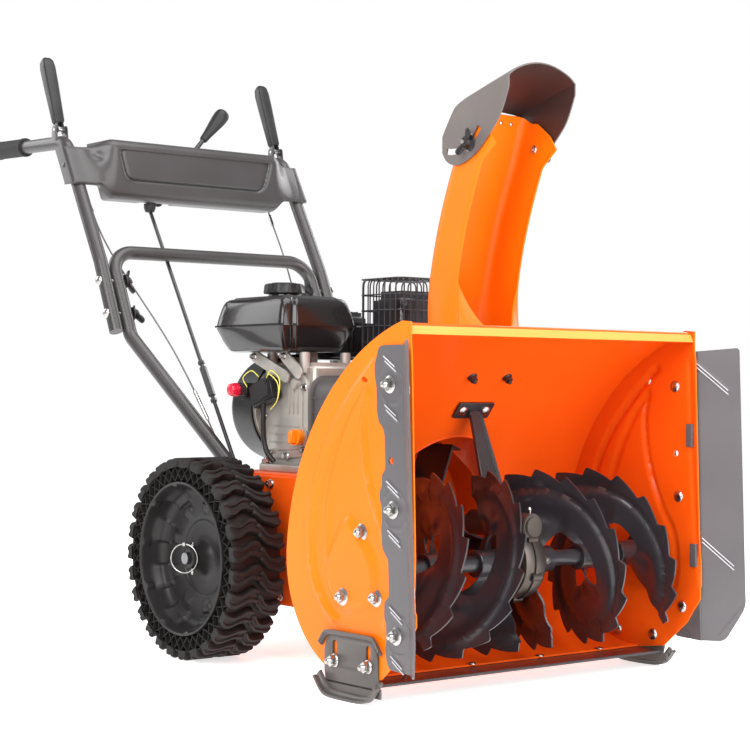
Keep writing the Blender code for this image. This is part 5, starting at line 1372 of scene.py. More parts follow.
def make_hood_nuts():
    """The hood's wing nuts with their studs and washers."""
    y, z = hood_bolt_place()
    for side, word in SIDES:
        outside = CHUTE_X + side * (CHUTE_HALF_WIDTH + 0.0045 + 0.00125 + 0.0003)
        knob = wing_knob((outside, y, z), (side, 0, 0), 52)
        stud = rod((outside - side * 0.012, y, z), (outside + side * 0.0165, y, z), 0.0036, segments=24,
                   bevel=0.0006)
        dress(knob, "wing_nut_" + word, "black_plastic", ["hood_wing_nut_" + word], body="chute")
        washer = turned(oblong(0.004, 0.0, 0.0142, 0.0011), "X",
                        (outside + side * 0.0002 - (0.0011 if side < 0 else 0.0), y, z), steps=40)
        inside_head = carriage_head((CHUTE_X + side * (CHUTE_HALF_WIDTH - SHEET / 2), y, z),
                                    (-side, 0, 0), 0.0078, 0.0034)
        dress(merge([stud, washer, inside_head]), "hood_stud_" + word, "zinc_steel", body="chute")


def make_keeper():
    """The ring and three clips that hold the chute's foot."""
    centre = (CHUTE_X, back(CHUTE_DISTANCE), CHUTE_BASE_Z)
    low = -0.004 - SHEET
    keeper = turned([(CHUTE_RADIUS + 0.0012, low), (0.0868, low), (0.087, low + 0.0003), (0.087, -0.0042),
                     (0.0866, -0.0039), (CHUTE_RADIUS + 0.0012, -0.0039)], "Z", centre, steps=96)
    clips, bolts = [keeper], []
    for degrees in (90, 200, 340):
        turn = Matrix.Translation(centre) @ Matrix.Rotation(math.radians(degrees), 4, "Z")
        foot = block((0.0865, -0.011, low), (0.095, 0.011, 0.008), bevel=0.0008)
        finger = block((0.078, -0.011, 0.0042), (0.088, 0.011, 0.008), bevel=0.0008)
        clips += [moved(foot, turn), moved(finger, turn)]
        bolts.append(moved(carriage_head((0.0905, 0.0, 0.008), (0, 0, 1), 0.004, 0.0022), turn))
    dress(merge(clips), "keeper_ring", "black_plastic", ["chute_keeper"])
    dress(merge(bolts), "keeper_screws", "zinc_steel")


# ---------------------------------------------------------------- drum, frame and impeller
def make_drum():
    """Impeller drum behind the housing, with the round neck that carries the chute."""
    front, rear, top = back(0.15), back(DRUM_BACK), CHUTE_BASE_Z - 0.0003
    drum = rod((0, front, IMPELLER_Z), (0, rear, IMPELLER_Z), DRUM_RADIUS, segments=96, bevel=0.003)
    neck_low, neck_high = (CHUTE_X, back(CHUTE_DISTANCE), 0.262), (CHUTE_X, back(CHUTE_DISTANCE), top)
    neck = rod(neck_low, neck_high, CHUTE_RADIUS, segments=72)
    flange = rod((*neck_low[:2], top - SHEET), neck_high, 0.085, segments=96, bevel=0.0006)
    drum = join(drum, neck, flange)
    hollow = rod((0, front - 0.01, IMPELLER_Z), (0, rear - SHEET, IMPELLER_Z), DRUM_RADIUS - SHEET,
                 segments=96)
    throat = rod((*neck_low[:2], 0.264), (*neck_low[:2], top + 0.01), CHUTE_RADIUS - SHEET, segments=72)
    bore = rod((0, rear - 0.02, IMPELLER_Z), (0, rear + 0.02, IMPELLER_Z), 0.0115, segments=32)
    outline = [(back(-0.2), 0.0)] + housing_arcs(SHEET + 0.0003, 26) + [(back(-0.2), ROOF_TOP + 0.05)]
    drum = cut(drum, hollow, throat, bore, plate(outline, "YZ", 0.0, 0.6, bevel=0.0))
    # The drum takes the shaded orange copy: painted shade and bounced light.
    dress(drum, "drum_and_neck", "shaded_orange", ["impeller_drum"])
    seam = tube([(CHUTE_X + CHUTE_RADIUS * math.cos(a), back(CHUTE_DISTANCE) + CHUTE_RADIUS * math.sin(a),
                  top - 0.0045) for a in [math.tau * k / 72 for k in range(72)]], 0.0016, 3, closed=True)
    dress(seam, "neck_weld", "orange_paint")


def make_impeller():
    """Four-bladed rotor on its shaft, with the pulley behind the drum."""
    front, rear = back(0.262), back(0.344)
    parts = [turned([(0.0103, 0.0), (0.0225, 0.0), (0.024, 0.0015), (0.024, 0.0825), (0.0225, 0.084),
                     (0.0103, 0.084)], "Y", (0.0, front, IMPELLER_Z), steps=48)]
    for k in range(4):
        turn = Matrix.Translation((0, 0, IMPELLER_Z)) @ Matrix.Rotation(math.radians(20 + 90 * k), 4, "Y")
        blade = block((-0.002, front, 0.02), (0.002, rear, IMPELLER_RADIUS), bevel=0.0008)
        tip = block((-0.002, front, IMPELLER_RADIUS - 0.0045), (0.018, rear, IMPELLER_RADIUS - 0.0012),
                    0.0008)
        gusset = block((-0.02, rear - 0.01, 0.03), (0.0005, rear - 0.007, 0.08), 0.0008)
        parts += [moved(piece, turn) for piece in (blade, tip, gusset)]
    dress(merge(parts), "impeller_rotor", "black_steel", ["impeller"], body="impeller")
    shaft = rod((0, back(0.105), IMPELLER_Z), (0, back(0.438), IMPELLER_Z), 0.01, segments=48,
                bevel=0.001)
    pulley = turned([(0.01, 0.0), (0.0845, 0.0), (0.085, 0.0012), (0.078, 0.008), (0.078, 0.01),
                     (0.085, 0.0168), (0.0845, 0.018), (0.01, 0.018)], "Y", (0, back(0.418), IMPELLER_Z),
                    steps=72)
    dress(merge([shaft, pulley]), "impeller_axle", "bare_steel", ["impeller_shaft"], body="impeller")


def make_transmission_frame():
    """The hollow box under the engine, its openings and its bolts."""
    low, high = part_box("transmission_frame")
    shell = block(low, high, bevel=0.004)
    room = block(low + Vector((SHEET,) * 3), high - Vector((SHEET,) * 3))
    axle = rod((-0.2, *AXLE_CENTRE[1:]), (0.2, *AXLE_CENTRE[1:]), 0.014, segments=32)
    shaft = rod((0, back(0.34), IMPELLER_Z), (0, back(0.37), IMPELLER_Z), 0.02, segments=32)
    window = block((-0.08, back(0.372), FRAME_TOP - 0.02), (0.08, back(0.462), FRAME_TOP + 0.02))
    bearings = rod((-0.2, back(0.525), 0.2), (0.2, back(0.525), 0.2), 0.008, segments=24)
    passage = rod((-0.124, back(0.637), FRAME_TOP - 0.02), (-0.124, back(0.637), FRAME_TOP + 0.02), 0.018)
    shell = cut(shell, room, axle, shaft, window, bearings, passage)
    # The frame box takes the shaded orange copy: painted shade.
    dress(shell, "frame_box", "shaded_orange", ["transmission_frame"])
    bolts = []
    for side in (-1, 1):
        face = side * high.x
        for distance, z in ((0.376, 0.286), (0.376, 0.19), (0.376, 0.104), (0.47, 0.104), (0.56, 0.104),
                            (0.642, 0.104), (0.642, 0.286), (0.5, 0.286)):
            bolts.append(plain_nut((face, back(distance), z), (side, 0, 0), 0.006, 0.0088, 0.0078))
    for x in (-0.1, 0.0, 0.1):
        for z in (0.11, 0.26):
            bolts.append(plain_nut((x, back(0.66), z), (0, 1, 0), 0.006, 0.0088, 0.0078))
    dress(merge(bolts), "frame_bolts", "zinc_steel")


# ---------------------------------------------------------------- handles
BEND_STEPS = 10


def handle_line(z):
    """Distance of the upper tubes' middle at a height, up to their bend."""
    if z < 0.67:
        return 0.851 + (z - 0.561) * 0.0495 / 0.109
    return 0.9005 + (z - 0.67) * 0.575


def bent(points, radius):
    """A path whose corners follow circular arcs."""
    points = [Vector(point) for point in points]
    line = [points[0]]
    for before, corner, after in zip(points, points[1:], points[2:]):
        half = (corner - before).angle(after - corner) / 2
        reach = radius * math.tan(half)
        entry = corner + (before - corner).normalized() * reach
        leave = corner + (after - corner).normalized() * reach
        for k in range(BEND_STEPS + 1):
            t = k / BEND_STEPS
            middle = 2 * math.cos(half) * t * (1 - t)
            total = (1 - t) ** 2 + middle + t ** 2
            line.append((entry * (1 - t) ** 2 + corner * middle + leave * t ** 2) / total)
    return line + [points[-1]]


def make_handles():
    """The lower loop, both upper tubes, and the bolts and knobs that join them."""
    foot_x = 0.1628
    half = [(foot_x, back(0.5), 0.225), (foot_x, back(0.61), 0.318), (LOWER_TUBE_X, back(0.838), 0.535),
            (LOWER_TUBE_X, back(handle_line(0.69)), 0.69)]
    route = [(-x, y, z) for x, y, z in half] + half[::-1]
    dress(tube(bent(route, 0.045), TUBE_RADIUS, 8), "lower_loop", "handle_paint", ["lower_handle"])
    x, pivot = UPPER_TUBE_X, (back(LEVER_PIVOT[0]), LEVER_PIVOT[1])
    route = [(x, back(0.843), 0.543), (x, back(0.9005), 0.67), (x, back(handle_line(0.899)), 0.899),
             (x, back(1.305), 0.91)]
    parts = [tube(bent(route, 0.035), TUBE_RADIUS, 8)]
    ear = rounded([(pivot[0] - 0.012, 0.9), (pivot[0] + 0.012, 0.9), (pivot[0] + 0.008, pivot[1] + 0.008),
                   (pivot[0] - 0.008, pivot[1] + 0.008)], [0.001, 0.001, 0.006, 0.006])
    parts += [plate(ear, "YZ", x + side * 0.011, 0.0022) for side in (-1, 1)]
    left = merge(parts)
    right = mirrored(left, "right")
    dress(left, "upper_tube_left", "handle_paint", ["upper_handle_left"])
    dress(right, "upper_tube_right", "handle_paint", ["upper_handle_right"])
    for side, word in SIDES:
        heads, knobs = [], []
        for z, roll in ((0.576, 35), (0.635, 62)):
            y = back(handle_line(z))
            heads.append(carriage_head((side * (x + TUBE_RADIUS - 0.0008), y, z), (side, 0, 0), 0.009,
                                       0.0058))
            heads.append(rod((side * 0.19, y, z), (side * x, y, z), 0.0038, segments=24, bevel=0.0005))
            knobs.append(wing_knob((side * (LOWER_TUBE_X - TUBE_RADIUS), y, z), (-side, 0, 0), roll))
        y = back(0.53)
        heads.append(plain_nut((side * (foot_x + TUBE_RADIUS - 0.0005), y, 0.2504), (side, 0, 0), 0.0068,
                               0.011, 0.0088))
        heads.append(rod((side * (x - 0.0125), *pivot), (side * (x + 0.0125), *pivot), 0.003, segments=20,
                         bevel=0.0006))
        dress(merge(heads), "handle_bolts_" + word, "zinc_steel")
        dress(merge(knobs), "handle_knobs_" + word, "black_plastic")
    make_grips()


def make_grips():
    """Ribbed rubber sleeves on the ends of the upper tubes."""
    profile = [(0.0128, 0.0), (0.0172, 0.0), (0.018, 0.001), (0.018, 0.005), (0.0168, 0.0064)]
    for k in range(13):
        start = 0.0095 + 0.0072 * k
        profile += [(0.0164, start), (0.0171, start + 0.0012), (0.0171, start + 0.0042),
                    (0.0164, start + 0.0054)]
    profile += [(0.0168, 0.106), (0.018, 0.1078), (0.018, 0.1135), (0.016, 0.116), (0.012, 0.1165),
                (0.0, 0.1165), (0.0, 0.114), (0.0128, 0.114)]
    tilt = math.atan2(0.011, 1.305 - handle_line(0.899))
    for side, word in SIDES:
        grip = turned(profile, "Y", (0, 0, 0), steps=48)
        start = (side * UPPER_TUBE_X, back(1.1913), 0.91 - 0.1137 * math.sin(tilt))
        moved(grip, Matrix.Translation(start) @ Matrix.Rotation(tilt, 4, "X"))
        dress(grip, "grip_sleeve_" + word, "grip_rubber", ["grip_" + word])


# ---------------------------------------------------------------- dashboard
PANEL = rounded([(-0.152, 0.831), (0.15, 0.831), (0.167, 0.889), (-0.169, 0.889)], 0.016)


def dash_front(x, z):
    """Distance of the dashboard's face: a proud middle that steps back to the ears on the tubes."""
    body = 0.964 + 0.1 * max(0.0, 0.8 - z)
    share = ease((0.238 - abs(x)) / 0.062)
    return (handle_line(z) - 0.018) * (1 - share) + body * share


def dash_press(x, z):
    """How far the face is pressed in at a point: the blank panel, its rim, and the mark beside it."""
    rim = distance_to(PANEL + PANEL[:1], x, z)
    depth = 0.005 * ease(1.0 - rim / 0.0065)
    if inside((x, z), PANEL):
        depth = max(depth, 0.0026)
    return depth + 0.0035 * ease(1.0 - math.hypot(x + 0.205, z - 0.872) / 0.013)


def dash_row(x):
    """The bent strip at one place across the dashboard, from its lower rear edge over the face."""
    share = ease((0.222 - abs(x)) / 0.044)
    low, high = 0.8165 - 0.0225 * ease((0.21 - abs(x)) / 0.03), 0.8875 + 0.016 * share
    corner = 0.003 + 0.0135 * share
    reach = 0.0035 + 0.024 * share
    row = []
    for k in range(9):
        row.append((dash_front(x, low) + corner + reach * (1 - k / 8), low))
    for k in range(1, 7):
        a = math.pi / 2 * k / 6
        row.append((dash_front(x, low + corner) + corner * (1 - math.sin(a)),
                    low + corner * (1 - math.cos(a))))
    steps = 38
    for k in range(1, steps):
        z = low + corner + (high - low - 2 * corner) * k / steps
        row.append((dash_front(x, z) + dash_press(x, z), z))
    for k in range(7):
        a = math.pi / 2 * k / 6
        row.append((dash_front(x, high - corner) + corner * (1 - math.cos(a)),
                    high - corner * (1 - math.sin(a))))
    for k in range(1, 9):
        row.append((dash_front(x, high - corner) + corner + 3.0 * reach * k / 8, high))
    return [(x, back(distance), z) for distance, z in row]


def make_dashboard():
    """The pressed dashboard with curled ears, a dark ring in the panel's groove as painted shade, its boot
    and shift gate.
    """
    half, columns, curl_radius = 0.256, 150, 0.007
    rows = [dash_row(half * (2 * k / columns - 1)) for k in range(columns + 1)]
    for side, place in ((-1, 0), (1, len(rows))):
        base = dash_row(side * half)
        curl = []
        for k in range(1, 7):
            a = math.pi / 2 * k / 6
            curl.append([(side * (half + curl_radius * math.sin(a)), y + curl_radius * (1 - math.cos(a)),
                          z) for _, y, z in base])
        curl.append([(side * (half + curl_radius), y + 0.034, z) for _, y, z in base])
        rows[place:place] = curl[::-1] if side < 0 else curl
    top, under = len(base) - 9, 8
    open_faces = set()
    for i, row in enumerate(rows[:-1]):
        curled = i < 7 or i >= len(rows) - 8
        x = row[0][0]
        open_faces.update((i, j) for j in range(under) if curled or (-0.11 < x < -0.04 and j < 5))
        open_faces.update((i, top + j) for j in range(8) if curled or (abs(x) < 0.1125 and 2 <= j < 5))
    dress(sheet(rows, 0.0024, skip=open_faces, even=False), "dash_shell", "handle_paint", ["dashboard"])
    bolts = [carriage_head((side * (half + curl_radius + 0.0008), back(handle_line(0.852)), 0.852),
                           (side, 0, 0), 0.0056, 0.0024) for side in (-1, 1)]
    dress(merge(bolts), "dash_bolts", "black_steel")
    # A dark ring sunk in the panel's groove paints the groove's shade.
    seal = tube([(x, back(dash_front(x, z) + 0.004), z) for x, z in PANEL], 0.0022, 3, closed=True)
    dress(seal, "dash_panel_groove_shade", "black_plastic")
    boot = turned([(0.004, 0.776), (0.0085, 0.777), (0.011, 0.784), (0.0115, 0.7925), (0.004, 0.7925)],
                  "Z", (-0.084, back(1.0), 0.0), steps=40)
    dress(boot, "shift_boot", "black_plastic")
    gate = block((-0.105, back(0.999), 0.9036), (0.105, back(1.002), 0.906), bevel=0.0008)
    dress(gate, "shift_gate_lip", "black_plastic")


# ---------------------------------------------------------------- levers, shift and cables
def make_levers():
    """Two press levers: a bent steel channel at the foot and a moulded cover over the blade."""
    upright = math.atan2(1.065 - LEVER_PIVOT[1], 1.113 - LEVER_PIVOT[0])
    along = Vector((0.0, math.cos(upright), math.sin(upright)))
    across = Vector((0.0, -math.sin(upright), math.cos(upright)))
    pivot = Vector((0.0, back(LEVER_PIVOT[0]), LEVER_PIVOT[1]))
    for side, name in ((-1, "auger_lever"), (1, "drive_lever")):
        middle = pivot + Vector((side * UPPER_TUBE_X, 0, 0))
        outline = rounded(oblong(-0.006, -0.006, 0.07, 0.006), 0.004)
        loop = [pivot + along * u + across * v for u, v in outline]
        cheek = [(p.y, p.z) for p in loop]
        cheeks = [plate(cheek, "YZ", middle.x + way * 0.0062, 0.002) for way in (-1, 1)]
        web = oblong(-0.0052, -0.0058, 0.0052, -0.004)
        cheeks.append(swept([[middle + along * start + across * v + Vector((u, 0, 0)) for u, v in web]
                             for start in (0.01, 0.072)]))
        dress(merge(cheeks), name + "_channel", "black_steel", [name], body=name)
        rings = []
        for start, half, thick in ((0.014, 0.0085, 0.0074), (0.018, 0.0098, 0.0086),
                                   (0.06, 0.011, 0.0092), (0.1, 0.012, 0.01), (0.132, 0.0122, 0.0104),
                                   (0.145, 0.0108, 0.0092), (0.151, 0.0076, 0.0064),
                                   (0.153, 0.003, 0.003)):
            section = rounded(oblong(-half, -thick, half, thick), 0.0035, steps=3)
            rings.append([middle + along * start + across * v + Vector((u, 0, 0)) for u, v in section])
        dress(swept(rings), name + "_cover", "black_plastic", body=name)


SHIFT_PIVOT, SHIFT_TILT = (-0.062, back(1.015), 0.8), math.radians(40)
SHIFT_ROD_ENDS = (-0.082, back(1.015), 0.8), (-0.124, back(0.628), 0.286)


def make_shift():
    """The speed lever with its knob, and the jointed rod below it."""
    pivot = Vector(SHIFT_PIVOT)
    direction = Vector((math.sin(SHIFT_TILT), 0.0, math.cos(SHIFT_TILT)))
    stick = rod(pivot, pivot + direction * 0.175, 0.0045, segments=24)
    boss = rod(pivot - Vector((0, 0.01, 0)), pivot + Vector((0, 0.01, 0)), 0.011, segments=40,
               bevel=0.001)
    arm = block(pivot + Vector((-0.016, -0.002, -0.004)), pivot + Vector((0.0, 0.002, 0.004)),
                bevel=0.0008)
    dress(merge([stick, boss, arm]), "shift_stick", "black_steel", ["shift_lever"], body="shift_lever")
    profile = [(0.0, 0.165), (0.006, 0.165), (0.0076, 0.167), (0.0088, 0.18), (0.0118, 0.202),
               (0.0142, 0.22), (0.0146, 0.23), (0.0132, 0.238), (0.0085, 0.2422), (0.0, 0.243)]
    knob = turned(curve_through(profile, 4), "Z", (0, 0, 0), steps=40, closed=False)
    moved(knob, Matrix.Translation(pivot) @ facing(direction))
    dress(knob, "shift_knob", "black_plastic", body="shift_lever")
    top, foot = Vector(SHIFT_ROD_ENDS[0]), Vector(SHIFT_ROD_ENDS[1])
    reach = (foot - top).normalized()
    parts = [rod(top + reach * 0.004, foot, 0.0035, segments=20, bevel=0.0006)]
    parts.append(rod(top.lerp(foot, 0.62), top.lerp(foot, 0.72), 0.0065, segments=6, bevel=0.0008))
    for share in (0.605, 0.735):
        parts.append(rod(top.lerp(foot, share - 0.006), top.lerp(foot, share + 0.006), 0.006, segments=6,
                         bevel=0.0008))
    dress(merge(parts), "shift_link", "black_steel", ["shift_rod"], body="shift_rod")


def make_cables():
    """The two clutch cables with their ferrules."""
    route = [(0.2085, 1.04, 0.824), (0.205, 1.012, 0.78), (0.196, 0.948, 0.69), (0.15, 0.8, 0.505),
             (0.128, 0.672, 0.32), (0.127, 0.6645, 0.27)]
    for side, word in SIDES:
        points = [Vector((side * x, back(distance), z)) for x, distance, z in curve_through(route, 12)]
        dress(tube(points, 0.0016, 4), "cable_" + word, "cable_sheath", ["clutch_cable_" + word])
        ferrules = []
        for near, far in ((points[10], points[14]), (points[40], points[43]), (points[-9], points[-5])):
            ferrules.append(rod(near, far, 0.0036, segments=20, bevel=0.0008))
        dress(merge(ferrules), "cable_ferrules_" + word, "zinc_steel")


# ---------------------------------------------------------------- engine
TANK_TOP, TANK_SEAM = 0.602, 0.551
CAP_X, CAP_Y = -0.05, back(0.6065)
CAP_LOBES, SWITCH_LOBES = 10, 9


def make_tank():
    """Two blow-moulded halves that meet at a thin seam, with a concave flute at the front right corner."""
    low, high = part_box("fuel_tank")
    plan = [(low.x, high.y), (high.x, high.y), (high.x, low.y), (-0.104, low.y), (-0.1085, low.y + 0.006),
            (-0.1115, low.y + 0.006), (-0.116, low.y + 0.0005), (low.x, low.y + 0.003)]
    radii = [0.04, 0.036, 0.03, 0.004, 0.003, 0.003, 0.004, 0.02]

    def ring(inset, z):
        middle = Vector(((low.x + high.x) / 2, (low.y + high.y) / 2))
        loop = []
        for x, y in rounded(plan, radii, steps=7):
            reach = Vector((x, y)) - middle
            shrink = Vector((1 - inset / (high.x - middle.x), 1 - inset / (high.y - middle.y)))
            loop.append((middle.x + reach.x * shrink.x, middle.y + reach.y * shrink.y, z))
        return loop

    lower = [(0.034, low.z), (0.026, low.z + 0.0005), (0.0215, low.z + 0.003), (0.0185, low.z + 0.008),
             (0.012, 0.526), (0.0062, 0.54), (0.0036, 0.546), (0.003, TANK_SEAM - 0.0022),
             (0.0004, TANK_SEAM - 0.0016)]
    upper = [(0.0004, TANK_SEAM + 0.0016), (0.0032, TANK_SEAM + 0.0022), (0.004, 0.558), (0.0068, 0.57),
             (0.01, 0.582), (0.013, 0.59), (0.016, 0.5945), (0.0205, 0.5975), (0.027, 0.599),
             (0.029, 0.6008), (0.036, 0.6016), (0.056, TANK_TOP)]
    rings = [ring(inset, z) for inset, z in lower + upper]
    body = swept(rings)
    dress(body, "tank_shell", "gloss_black", ["fuel_tank"], angle=50)
    neck = turned([(0.0195, 0.596), (0.03, 0.6005), (0.0275, 0.603), (0.027, 0.6075), (0.0195, 0.6075)],
                  "Z", (CAP_X, CAP_Y, 0.0), steps=64)
    dress(neck, "tank_neck", "gloss_black")
    rings = []
    for radius, depth, z in ((0.035, 0.0, 0.608), (0.0358, 0.0, 0.609), (0.0358, 0.0012, 0.612),
                             (0.035, 0.0026, 0.6165), (0.0345, 0.0026, 0.6215), (0.0335, 0.0016, 0.624),
                             (0.03, 0.0, 0.6252), (0.022, 0.0, 0.6256), (0.0212, 0.0, 0.6268),
                             (0.0, 0.0, 0.627)):
        loop = []
        for k in range(120):
            angle = math.tau * k / 120
            r = radius - depth * ease(abs(math.sin(CAP_LOBES / 2 * angle)) * 1.6 - 0.6)
            loop.append((CAP_X + max(r, 0.0006) * math.cos(angle),
                         CAP_Y + max(r, 0.0006) * math.sin(angle), z))
        rings.append(loop)
    stem = rod((CAP_X, CAP_Y, 0.5965), (CAP_X, CAP_Y, 0.6085), 0.0185, segments=48, bevel=0.001)
    dress(merge([swept(rings), stem]), "tank_cap_lobed", "black_plastic", ["tank_cap"], body="tank_cap",
          angle=30)


BRACE_WIDTH, BRACE_THICKNESS = 0.021, 0.005


def brace(start, end, x):
    """A flat cast arm between two points of a side plane, with round ends."""
    (d0, z0), (d1, z1) = start, end
    run = math.atan2(z1 - z0, d1 - d0)
    outline = []
    for centre, turn in (((d1, z1), -math.pi / 2), ((d0, z0), math.pi / 2)):
        end_line = arc(centre, BRACE_WIDTH / 2, run + turn, run + turn + math.pi, 10)
        outline += [(back(u), v) for u, v in end_line]
    return plate(outline, "YZ", x, BRACE_THICKNESS, bevel=0.001)


def make_crankcase():
    """Crankcase, side cover, cylinder fins, head and tank braces, with their bolts."""
    base = FRAME_TOP + 0.0003
    parts = [block((-0.07, back(0.492), base + 0.002), (0.07, back(0.64), 0.488), bevel=0.01),
             block((0.05, back(0.505), 0.38), (0.11, back(0.625), 0.484), bevel=0.006)]
    cover = rounded([(back(0.5), 0.33), (back(0.6), 0.322), (back(0.628), 0.345), (back(0.632), 0.44),
                     (back(0.598), 0.474), (back(0.522), 0.474), (back(0.5), 0.452)], 0.016)
    parts.append(plate(cover, "YZ", -0.0725, 0.007, bevel=0.0012))
    raised = rounded([(back(0.512), 0.342), (back(0.594), 0.336), (back(0.616), 0.354),
                      (back(0.618), 0.432), (back(0.59), 0.46), (back(0.53), 0.46), (back(0.512), 0.442)],
                     0.014)
    parts.append(plate(raised, "YZ", -0.076, 0.005, bevel=0.0018))
    for distance in (0.524, 0.536, 0.548):
        parts.append(block((-0.081, back(distance) - 0.0012, 0.4),
                           (-0.076, back(distance) + 0.0012, 0.456), bevel=0.0006))
    for z in (0.352, 0.366, 0.38):
        parts.append(block((-0.0805, back(0.52), z - 0.0012), (-0.076, back(0.61), z + 0.0012),
                           bevel=0.0006))
    parts.append(rod((-0.082, back(0.512), 0.362), (-0.07, back(0.512), 0.362), 0.0165, segments=40,
                     bevel=0.0012))
    parts.append(rod((-0.086, back(0.528), 0.452), (-0.066, back(0.528), 0.452), 0.009, segments=32,
                     bevel=0.001))
    parts.append(rod((-0.084, back(0.598), 0.442), (-0.066, back(0.598), 0.442), 0.01, segments=32,
                     bevel=0.001))
    foot = rounded(oblong(-0.095, back(0.48), 0.09, back(0.62)), 0.01)
    parts.append(plate(foot, "XY", base + 0.006, 0.0116, bevel=0.001))
    for k in range(9):
        x = 0.112 + 0.0062 * k
        fin = rounded(oblong(back(0.506), 0.374, back(0.624), 0.49), 0.01)
        parts.append(plate(fin, "YZ", x, 0.0022, bevel=0.0005))
    parts.append(rod((0.105, back(0.565), 0.432), (0.168, back(0.565), 0.432), 0.045, segments=64))
    for k in range(7):
        z = 0.388 + 0.0145 * k
        parts.append(block((0.164, back(0.512), z - 0.0012), (0.199, back(0.618), z + 0.0012),
                           bevel=0.0006))
    parts.append(block((0.162, back(0.516), 0.384), (0.19, back(0.614), 0.48), bevel=0.004))
    parts.append(brace((0.636, 0.499), (0.545, 0.464), -0.089))
    parts.append(brace((0.548, 0.499), (0.508, 0.47), -0.089))
    for x in (-0.068, 0.018):
        for distance in (0.52, 0.615):
            parts.append(rod((x, back(distance), 0.47), (x, back(distance), 0.5056), 0.009, segments=32,
                             bevel=0.001))
    dress(merge(parts), "crankcase_casting", "cast_aluminium", ["engine_block"])
    bolts = []
    for distance, z in ((0.508, 0.446), (0.508, 0.34), (0.56, 0.329), (0.61, 0.332), (0.625, 0.395),
                        (0.618, 0.452), (0.56, 0.468)):
        bolts.append(plain_nut((-0.076, back(distance), z), (-1, 0, 0), 0.005, 0.009, 0.0066))
    for x in (-0.086, 0.08):
        for distance in (0.492, 0.608):
            bolts.append(plain_nut((x, back(distance), base + 0.0118), (0, 0, 1), 0.0068, 0.012, 0.009))
    for distance, z in ((0.636, 0.499), (0.548, 0.499)):
        bolts.append(plain_nut((-0.091, back(distance), z), (-1, 0, 0), 0.0046, 0.007, 0.0062))
    dress(merge(bolts), "engine_bolts", "zinc_steel")


def make_ignition_box():
    """Black control box tilted on the casing's side, with two wire loops and the breather hose."""
    turn = Matrix.Rotation(math.radians(-18), 4, "X")
    box = moved(block((-0.011, -0.033, -0.021), (0.011, 0.033, 0.021), bevel=0.0035),
                Matrix.Translation((-0.0925, back(0.602), 0.438)) @ turn)
    lid = moved(block((-0.0028, -0.026, -0.015), (0.002, 0.026, 0.015), bevel=0.0018),
                Matrix.Translation((-0.1035, back(0.602), 0.438)) @ turn)
    stalk = block((-0.1063, back(0.64), 0.429), (-0.084, back(0.676), 0.453), bevel=0.003)
    dress(merge([box, lid, stalk]), "ignition_box", "black_plastic")
    hose = curve_through([(-0.09, back(0.606), 0.446), (-0.096, back(0.601), 0.415),
                          (-0.0955, back(0.601), 0.362), (-0.093, back(0.594), 0.334),
                          (-0.086, back(0.583), 0.3185)], 8)
    dress(tube(hose, 0.0048, 5), "breather_hose", "black_plastic")
    wires = []
    for lift, reach in ((0.0, 0.0), (0.006, 0.005)):
        wires.append(tube(curve_through([(-0.1, back(0.59), 0.452),
                                         (-0.1045, back(0.574 - reach), 0.468 + lift),
                                         (-0.101, back(0.552 - reach), 0.452 + lift),
                                         (-0.099, back(0.556), 0.424), (-0.096, back(0.58), 0.408)], 8),
                          0.001, 3))
    wires.append(tube(curve_through([(-0.1035, back(0.64), 0.446), (-0.1055, back(0.65), 0.462),
                                     (-0.103, back(0.628), 0.474), (-0.099, back(0.612), 0.464)], 8),
                      0.001, 3))
    dress(merge(wires), "ignition_wires", "yellow_wire")


SLOT_COUNT = 14               # slots in the starter cover


def make_recoil():
    """Pressed starter cover with a ring of slots in its face."""
    y = back(0.6404)
    profile = [(0.0, 0.084), (0.03, 0.084), (0.033, 0.0825), (0.055, 0.0825), (0.06, 0.0838),
               (0.066, 0.083), (0.082, 0.076), (0.0905, 0.066), (0.0935, 0.056), (0.094, 0.008),
               (0.0945, 0.006), (0.0945, 0.0), (0.0915, 0.0), (0.091, 0.055), (0.088, 0.064),
               (0.08, 0.073), (0.064, 0.08), (0.0, 0.0805)]
    cover = turned(profile, "Y", (0, y, CRANK_Z), steps=96)
    tools = [rod((-0.045, back(0.7), 0.43), (-0.045, back(0.76), 0.43), 0.0075, segments=20)]
    centre = Matrix.Translation((0, y, CRANK_Z))
    for k in range(SLOT_COUNT):
        spin = centre @ Matrix.Rotation(math.tau * (k + 0.5) / SLOT_COUNT, 4, "Y")
        tools.append(moved(block((-0.003, 0.06, 0.04), (0.003, 0.1, 0.07), bevel=0.0025), spin))
    dress(cut(cover, *tools), "starter_cover", "satin_black", ["recoil_cover"])
    ring = turned([(0.079, -0.005), (0.089, -0.005), (0.0905, 0.002), (0.0905, 0.012), (0.088, 0.016),
                   (0.079, 0.016)], "Y", (0, y, CRANK_Z), steps=96)
    dress(ring, "blower_ring", "cast_aluminium")
    bolts = [plain_nut((0.06 * math.sin(a), y + 0.08, CRANK_Z + 0.06 * math.cos(a)), (0, 1, 0), 0.004,
                       0.0052, 0.0048) for a in (0.6, 2.7, 4.9)]
    dress(merge(bolts), "starter_bolts", "zinc_steel")


